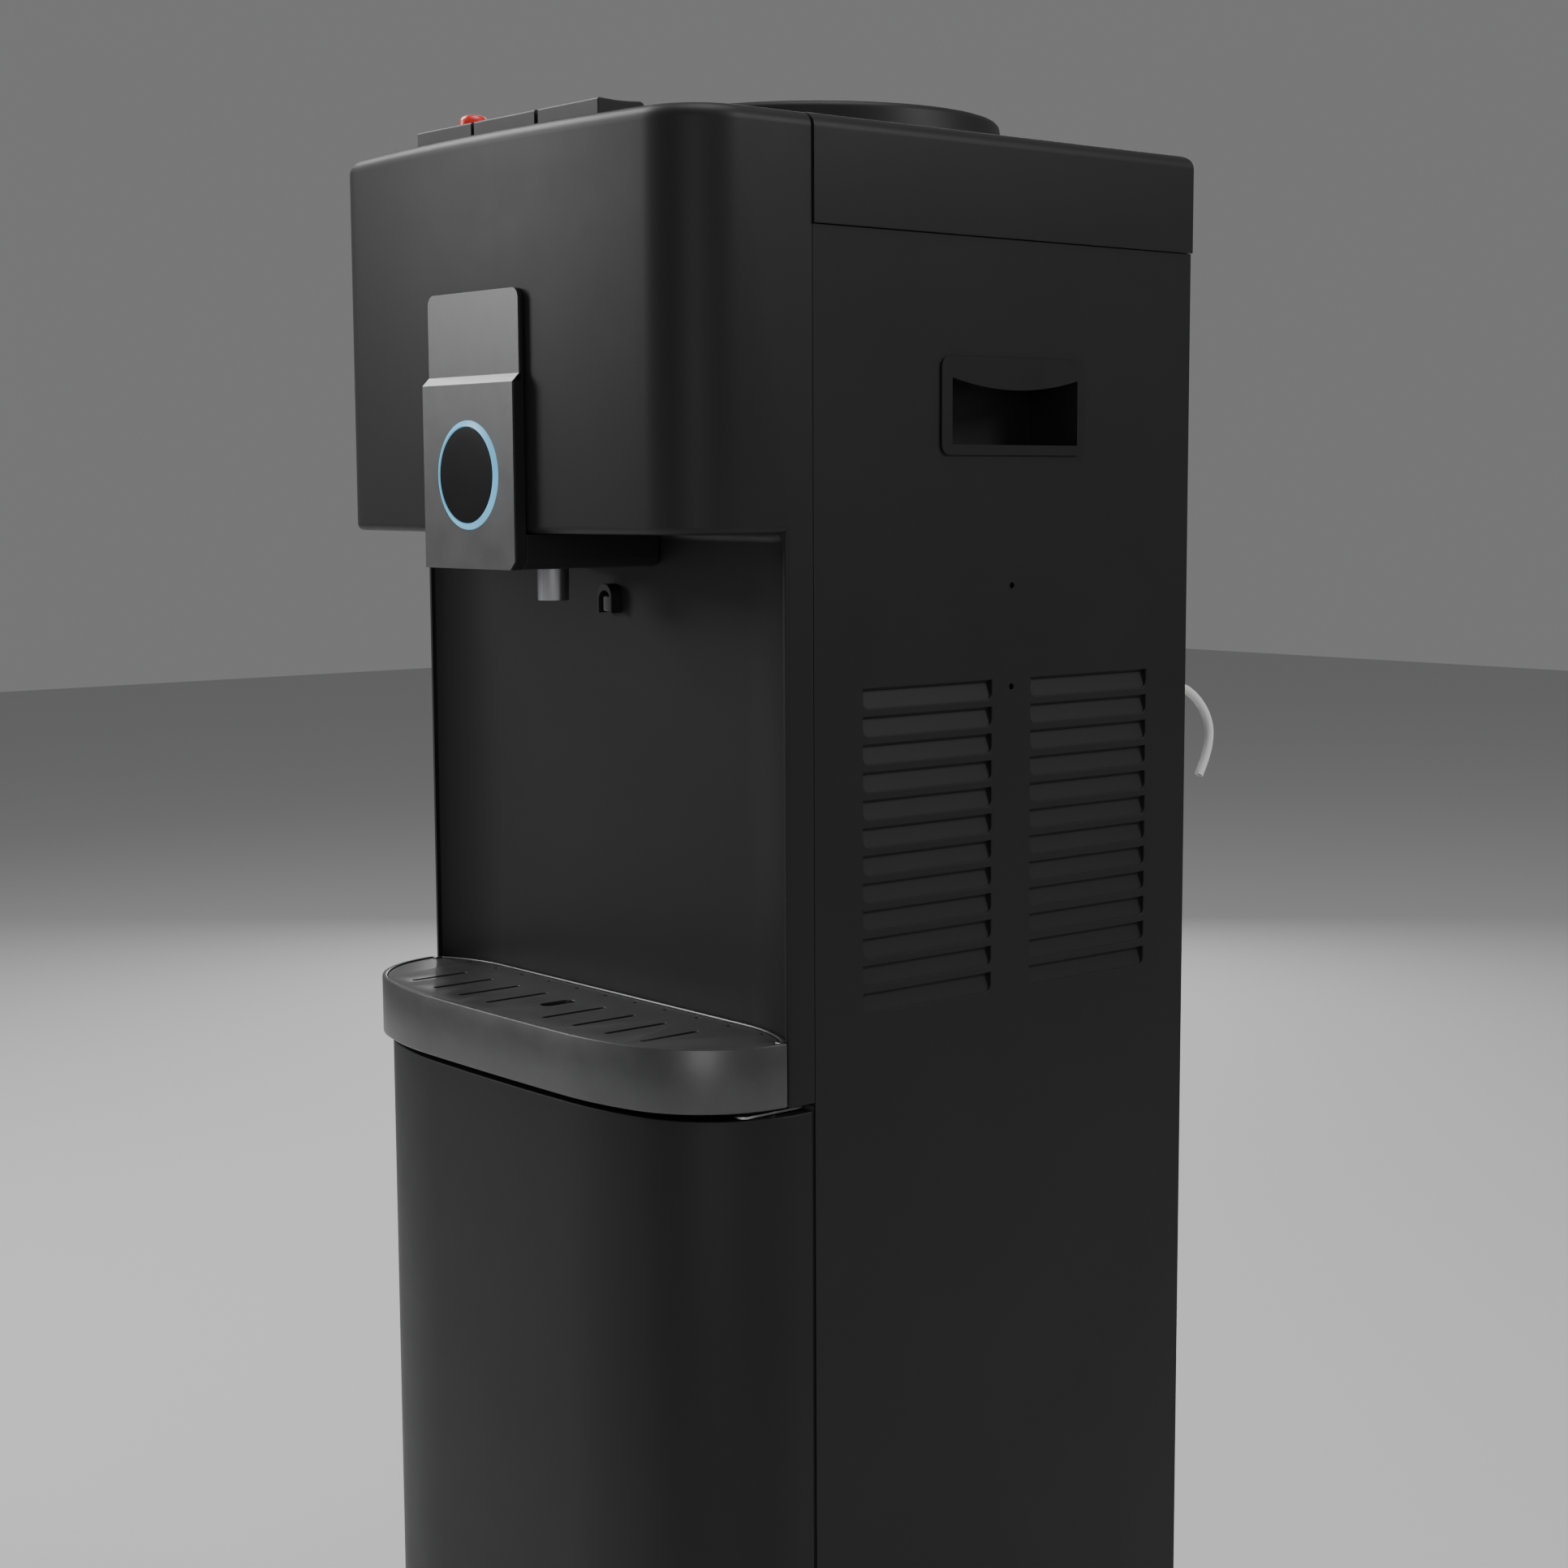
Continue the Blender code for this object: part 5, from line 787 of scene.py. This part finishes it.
def build_side(side, name):
    """Side panel whose louvres are pockets: deep at the top, nearly flush at the foot."""
    inner, outer = side * (HALF - SHEET), side * HALF
    sheet = prism([(SEAM_HALF, PANEL_LOW), (DEPTH, PANEL_LOW), (DEPTH, PANEL_TOP), (SEAM_HALF, PANEL_TOP)],
                  inner, outer, "X")
    windows = list(louvre_windows())
    through = (inner - side * 2 * PAST, outer + side * PAST, "X")
    openings = [prism(louvre_outline(*window, grow=TOUCH), *through) for window in windows]
    low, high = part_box(f"handle_cup_{name}")
    rim = 2 * MM
    handle = prism(rounded(low.y - SEAM_Y + rim, high.y - SEAM_Y - rim, low.z + rim, high.z - rim, 3 * MM), *through)
    screws = [prism(circle(MID_Y, TOP - drop, SCREW_R, 24), *through) for drop in SCREW_DROPS]
    panel = raw_object(f"side_moulding_{name}", sheet)
    boolean(panel, joined(openings), "DIFFERENCE")
    boolean(panel, joined([handle] + screws), "DIFFERENCE")
    boolean(panel, joined([louvre_pocket(side, *window) for window in windows]), "UNION")
    boolean(panel, joined([louvre_hollow(side, *window) for window in windows]), "DIFFERENCE")
    finished(panel, BLACK, "cabinet", [f"side_panel_{name}"], edge=0.2 * MM, slot="black_plastic", angle=32)


def louvre_wedge(side, outline, face, foot, head, low, high):
    """Solid between the panel's face and a plane that leans in towards the top."""
    rows = [[], []]
    for y, z in outline:
        share = (z - low) / (high - low)
        rows[0].append((side * face, y, z))
        rows[1].append((side * (foot + (head - foot) * share), y, z))
    return loft(rows)


def louvre_pocket(side, y0, y1, z0, z1):
    """Outside of a pocket, which fills its window in the panel."""
    outline = louvre_outline(y0, y1, z0, z1, LOUVRE_WALL)
    return louvre_wedge(side, outline, HALF - 0.25 * MM, HALF - 2 * MM, HALF - 4.6 * MM, z0 - LOUVRE_WALL,
                        z1 + LOUVRE_WALL)


def louvre_hollow(side, y0, y1, z0, z1):
    """Inside of a pocket; it opens inwards through a slit along its top."""
    lean = louvre_wedge(side, louvre_outline(y0, y1, z0, z1), HALF + 3 * MM, HALF - 0.9 * MM, HALF - 3.4 * MM,
                        z0, z1)
    x0, x1 = sorted((side * (HALF - 7 * MM), side * (HALF - 2 * MM)))
    slit = box(x0, x1, y0 + 1 * MM, y1 - 1 * MM, z1 - 1 * MM, z1 - 0.05 * MM)
    return joined([lean, slit])


def build_sides():
    build_side(-1, "left")
    build_side(1, "right")


def build_handles():
    """Finger pockets: round bezel and a sagging grip over the mouth."""
    for name, side in (("left", -1), ("right", 1)):
        low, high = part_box(f"handle_cup_{name}")
        y0, y1, z0, z1 = low.y - SEAM_Y, high.y - SEAM_Y, low.z, high.z
        mouth_y0, mouth_y1 = y0 + 7 * MM, y1 - 5 * MM
        mouth_z0, mouth_z1 = z0 + 5 * MM, z1 - 10 * MM
        mid = (mouth_y0 + mouth_y1) / 2
        span = (mouth_y1 - mouth_y0) / 2
        grip_r = (span ** 2 + HANDLE_SAG ** 2) / (2 * HANDLE_SAG)
        lean = math.degrees(math.asin(span / grip_r))
        grip = arc(mid, mouth_z1 - HANDLE_SAG + grip_r, grip_r, -90 + lean, -90 - lean, 32)
        mouth = [(mouth_y0, mouth_z0), (mouth_y1, mouth_z0)] + grip
        outer = side * (HALF + OVERHANG)
        bezel = prism(rounded(y0, y1, z0, z1, HANDLE_CORNER_R, 8), side * (HALF + TOUCH), outer, "X")
        back = side * (HALF + TOUCH - HANDLE_DEPTH)
        pocket = prism(rounded(y0 + 2.5 * MM, y1 - 2.5 * MM, z0 + 2.5 * MM, z1 - 2.5 * MM, 2.5 * MM), back,
                       side * (HALF + 0.9 * MM), "X")
        mouth_cut = prism(mouth, side * (HALF - 4 * MM), side * (HALF + PAST), "X")
        hollow = prism(rounded(mouth_y0, mouth_y1, mouth_z0, z1 - 5.5 * MM, 1.2 * MM, 4), back + side * 2 * MM,
                       side * (HALF - 1.6 * MM), "X")
        piece(f"handle_pocket_{name}", bezel, BLACK_FINE, "cabinet", [f"handle_cup_{name}"],
              joins=[pocket], cuts=[hollow, mouth_cut], slot="black_plastic", angle=35)


# --- Door ------------------------------------------------------------------------------------

def build_door():
    levels = fillet(DOOR_FILLET, DOOR_LOW, False, 4) + fillet(DOOR_TOP_FILLET, DOOR_TOP, True, 4)
    low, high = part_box("door_liner")
    y0, y1 = low.y - SEAM_Y, high.y - SEAM_Y
    shell = layered(lambda inset: door_outline(inset, y1), levels)
    hollow = layered(lambda inset: door_outline(inset, PAST), [(WALL, DOOR_LOW + WALL), (WALL, DOOR_TOP - WALL)])
    bores = joined([prism(circle(HINGE_X, HINGE_Y, HINGE_BORE_R), z - PAST, z + PAST)
                    for z in (DOOR_TOP, DOOR_LOW)])
    piece("door_moulding", shell, BLACK, "door", ["door_shell"], cuts=[hollow, bores], slot="black_plastic",
          angle=35)
    margin, rib_margin = 14 * MM, 30 * MM
    panel = prism(rounded(low.x, high.x, low.z, high.z, 2 * MM), y0, y1, "Y")
    pocket = prism(rounded(low.x + margin, high.x - margin, low.z + margin, high.z - margin, 10 * MM, 8),
                   y0 + 1.2 * MM, y1 + PAST, "Y")
    ribs = [box(low.x + rib_margin, high.x - rib_margin, y1 - 1.5 * MM, y1 - 0.4 * MM, z, z + 3 * MM)
            for z in [low.z + (high.z - low.z) * k / 5 for k in range(1, 5)]]
    liner = raw_object("door_lining", panel)
    boolean(liner, pocket, "DIFFERENCE")
    boolean(liner, joined(ribs), "UNION")
    finished(liner, GREY, "door", ["door_liner"], slot="grey_plastic")


# --- Hose ------------------------------------------------------------------------------------

def smooth_route(points, spacing):
    """Evenly spaced points on one smooth curve through the route's own points."""
    points = [Vector(p) for p in points]
    padded = [2 * points[0] - points[1]] + points + [2 * points[-1] - points[-2]]
    fine = []
    for a, b, c, d in zip(padded, padded[1:], padded[2:], padded[3:]):
        for step in range(20):
            t = step / 20
            fine.append(0.5 * (2 * b + (c - a) * t + (2 * a - 5 * b + 4 * c - d) * t ** 2
                               + (3 * b - a - 3 * c + d) * t ** 3))
    fine.append(points[-1])
    lengths = [0.0]
    for a, b in zip(fine, fine[1:]):
        lengths.append(lengths[-1] + (b - a).length)
    count = round(lengths[-1] / spacing)
    route = []
    k = 0
    for i in range(count + 1):
        wanted = lengths[-1] * i / count
        while k < len(fine) - 2 and lengths[k + 1] < wanted:
            k += 1
        share = (wanted - lengths[k]) / (lengths[k + 1] - lengths[k])
        route.append(fine[k].lerp(fine[k + 1], share))
    return route, lengths[-1]


def build_hose():
    """Short overflow hose with an open, square end."""
    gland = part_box("hose_gland")
    x, z = (gland[0].x + gland[1].x) / 2, (gland[0].z + gland[1].z) / 2
    start = gland[1].y - SEAM_Y + TOUCH
    offsets = [(0, 0), (10, 1.6), (20.5, 2.2), (27.5, 0.4), (36.2, -5.4), (43, -13.1), (46.6, -21.5),
               (46.4, -30.2), (43.3, -39.1), (38.5, -47.7)]
    route, length = smooth_route([(x, start + y * MM, z + dz * MM) for y, dz in offsets], 2 * MM)
    steps = 28
    ring = [(math.cos(math.tau * k / steps), math.sin(math.tau * k / steps)) for k in range(steps)]
    across = Vector((1, 0, 0))
    loops = []
    for i, point in enumerate(route):
        ahead = route[min(i + 1, len(route) - 1)] - route[max(i - 1, 0)]
        ahead.normalize()
        up = across.cross(ahead).normalized()
        loops.append([point + HOSE_R * (across * c + up * s) for c, s in ring])
        if i == len(route) - 1:
            loops.append([point + HOSE_BORE_R * (across * c + up * s) for c, s in ring])
            inside = point - ahead * 9 * MM
            loops.append([inside + HOSE_BORE_R * (across * c + up * s) for c, s in ring])
    hose = piece("hose", loft(loops), HOSE, "cabinet", ["overflow_hose"], edge=0.15 * MM, slot="hose", angle=50)


# --- Everything ------------------------------------------------------------------------------

build_head()
build_niche()
build_front_plate()
build_indicator()
build_spout()
build_night_light()
build_keys()
build_tray()
build_grille()
build_cover()
build_collar()
build_sides()
build_handles()
build_door()
build_hose()

POLISHED = [
    (BLACK, ["base_pan", "switch_bezel", "mains_inlet"]),
    (PAINT, ["back_panel", "machine_deck"]),
    (GREY, ["compartment_liner", "rocker_cooling"]),
    (RED, ["rocker_heating"]),
    (RUBBER, ["foot_front_left", "foot_front_right", "foot_back_left", "foot_back_right", "hose_gland"]),
    (WHITE, ["feed_probe", "tank_lid", "outlet_manifold", "valve_hot", "valve_room", "valve_cold",
             "peltier_module"]),
    (STEEL, ["hinge_upper", "hinge_lower", "door_catch", "cold_tank", "hot_tank", "heater_band"]),
    (ALUMINIUM, ["heat_sink", "cold_block"]),
    (GLOSS, ["fan_frame", "fan_rotor"]),
    (FOAM, ["tank_insulation"]),
    (BOARD, ["power_board"]),
]
for finish, nodes in POLISHED:
    for name in nodes:
        polish(name, finish)
for name in ("tube_cold", "tube_hot", "tube_room", "tube_fill"):
    polish(name, SILICONE, edge=0, angle=60)


# --- Camera, light and floor -----------------------------------------------------------------

def add_camera():
    data = bpy.data.cameras.new("camera")
    data.sensor_width = 36
    data.lens = CAMERA_LENS
    data.clip_start = 0.05
    camera = bpy.data.objects.new("camera", data)
    bpy.context.scene.collection.objects.link(camera)
    yaw, pitch, roll = (math.radians(angle) for angle in (CAMERA_YAW, CAMERA_PITCH, CAMERA_ROLL))
    ahead = Vector((-math.sin(yaw) * math.cos(pitch), math.cos(yaw) * math.cos(pitch), -math.sin(pitch)))
    right = Vector((math.cos(yaw), math.sin(yaw), 0))
    up = right.cross(ahead)
    right, up = (right * math.cos(roll) + up * math.sin(roll), up * math.cos(roll) - right * math.sin(roll))
    turn = Matrix((right, up, -ahead)).transposed().to_4x4()
    camera.matrix_world = Matrix.Translation(Vector(CAMERA_PLACE) + Vector((0, SEAM_Y, 0))) @ turn
    bpy.context.scene.camera = camera


def add_softbox(name, place, target, size, power):
    data = bpy.data.lights.new(name, "AREA")
    data.shape = "RECTANGLE"
    data.size, data.size_y = size
    data.energy = power
    light = bpy.data.objects.new(name, data)
    light.location = place
    aim = Vector(target) - Vector(place)
    light.rotation_euler = aim.to_track_quat("-Z", "Y").to_euler()
    bpy.context.scene.collection.objects.link(light)


def add_studio():
    floor_mesh = bpy.data.meshes.new("floor")
    floor_mesh.from_pydata([(-9, -9, 0), (9, -9, 0), (9, 9, 0), (-9, 9, 0)], [], [(0, 1, 2, 3)])
    floor = bpy.data.objects.new("floor", floor_mesh)
    finish, nodes, _ = new_material("pale_floor")
    nodes["Principled BSDF"].inputs["Base Color"].default_value = (0.62, 0.62, 0.62, 1)
    nodes["Principled BSDF"].inputs["Roughness"].default_value = 0.9
    floor_mesh.materials.append(finish)
    bpy.context.scene.collection.objects.link(floor)
    world = bpy.data.worlds.new("studio")
    world.use_nodes = True
    world.node_tree.nodes["Background"].inputs["Color"].default_value = (0.62, 0.62, 0.63, 1)
    world.node_tree.nodes["Background"].inputs["Strength"].default_value = 0.3
    bpy.context.scene.world = world
    add_softbox("key", (-2.6, -2.3, 1.9), (0, -0.1, 0.85), (1.0, 1.6), 44)
    add_softbox("brow", (-2.0, -0.5, 2.6), (0, -0.1, 0.85), (1.2, 1.0), 44)
    add_softbox("top", (0.3, 0.1, 3.0), (0, 0, 0.8), (1.4, 1.4), 22)
    add_softbox("back", (-2.4, 2.1, 1.3), (0, 0, 0.7), (1.3, 1.5), 26)
    add_softbox("side", (2.4, 1.5, 2.4), (0.1, 0.0, 0.8), (0.9, 1.1), 30)
    add_softbox("fill", (2.6, -2.4, 1.2), (0, 0, 0.75), (1.6, 1.6), 14)


add_camera()
add_studio()
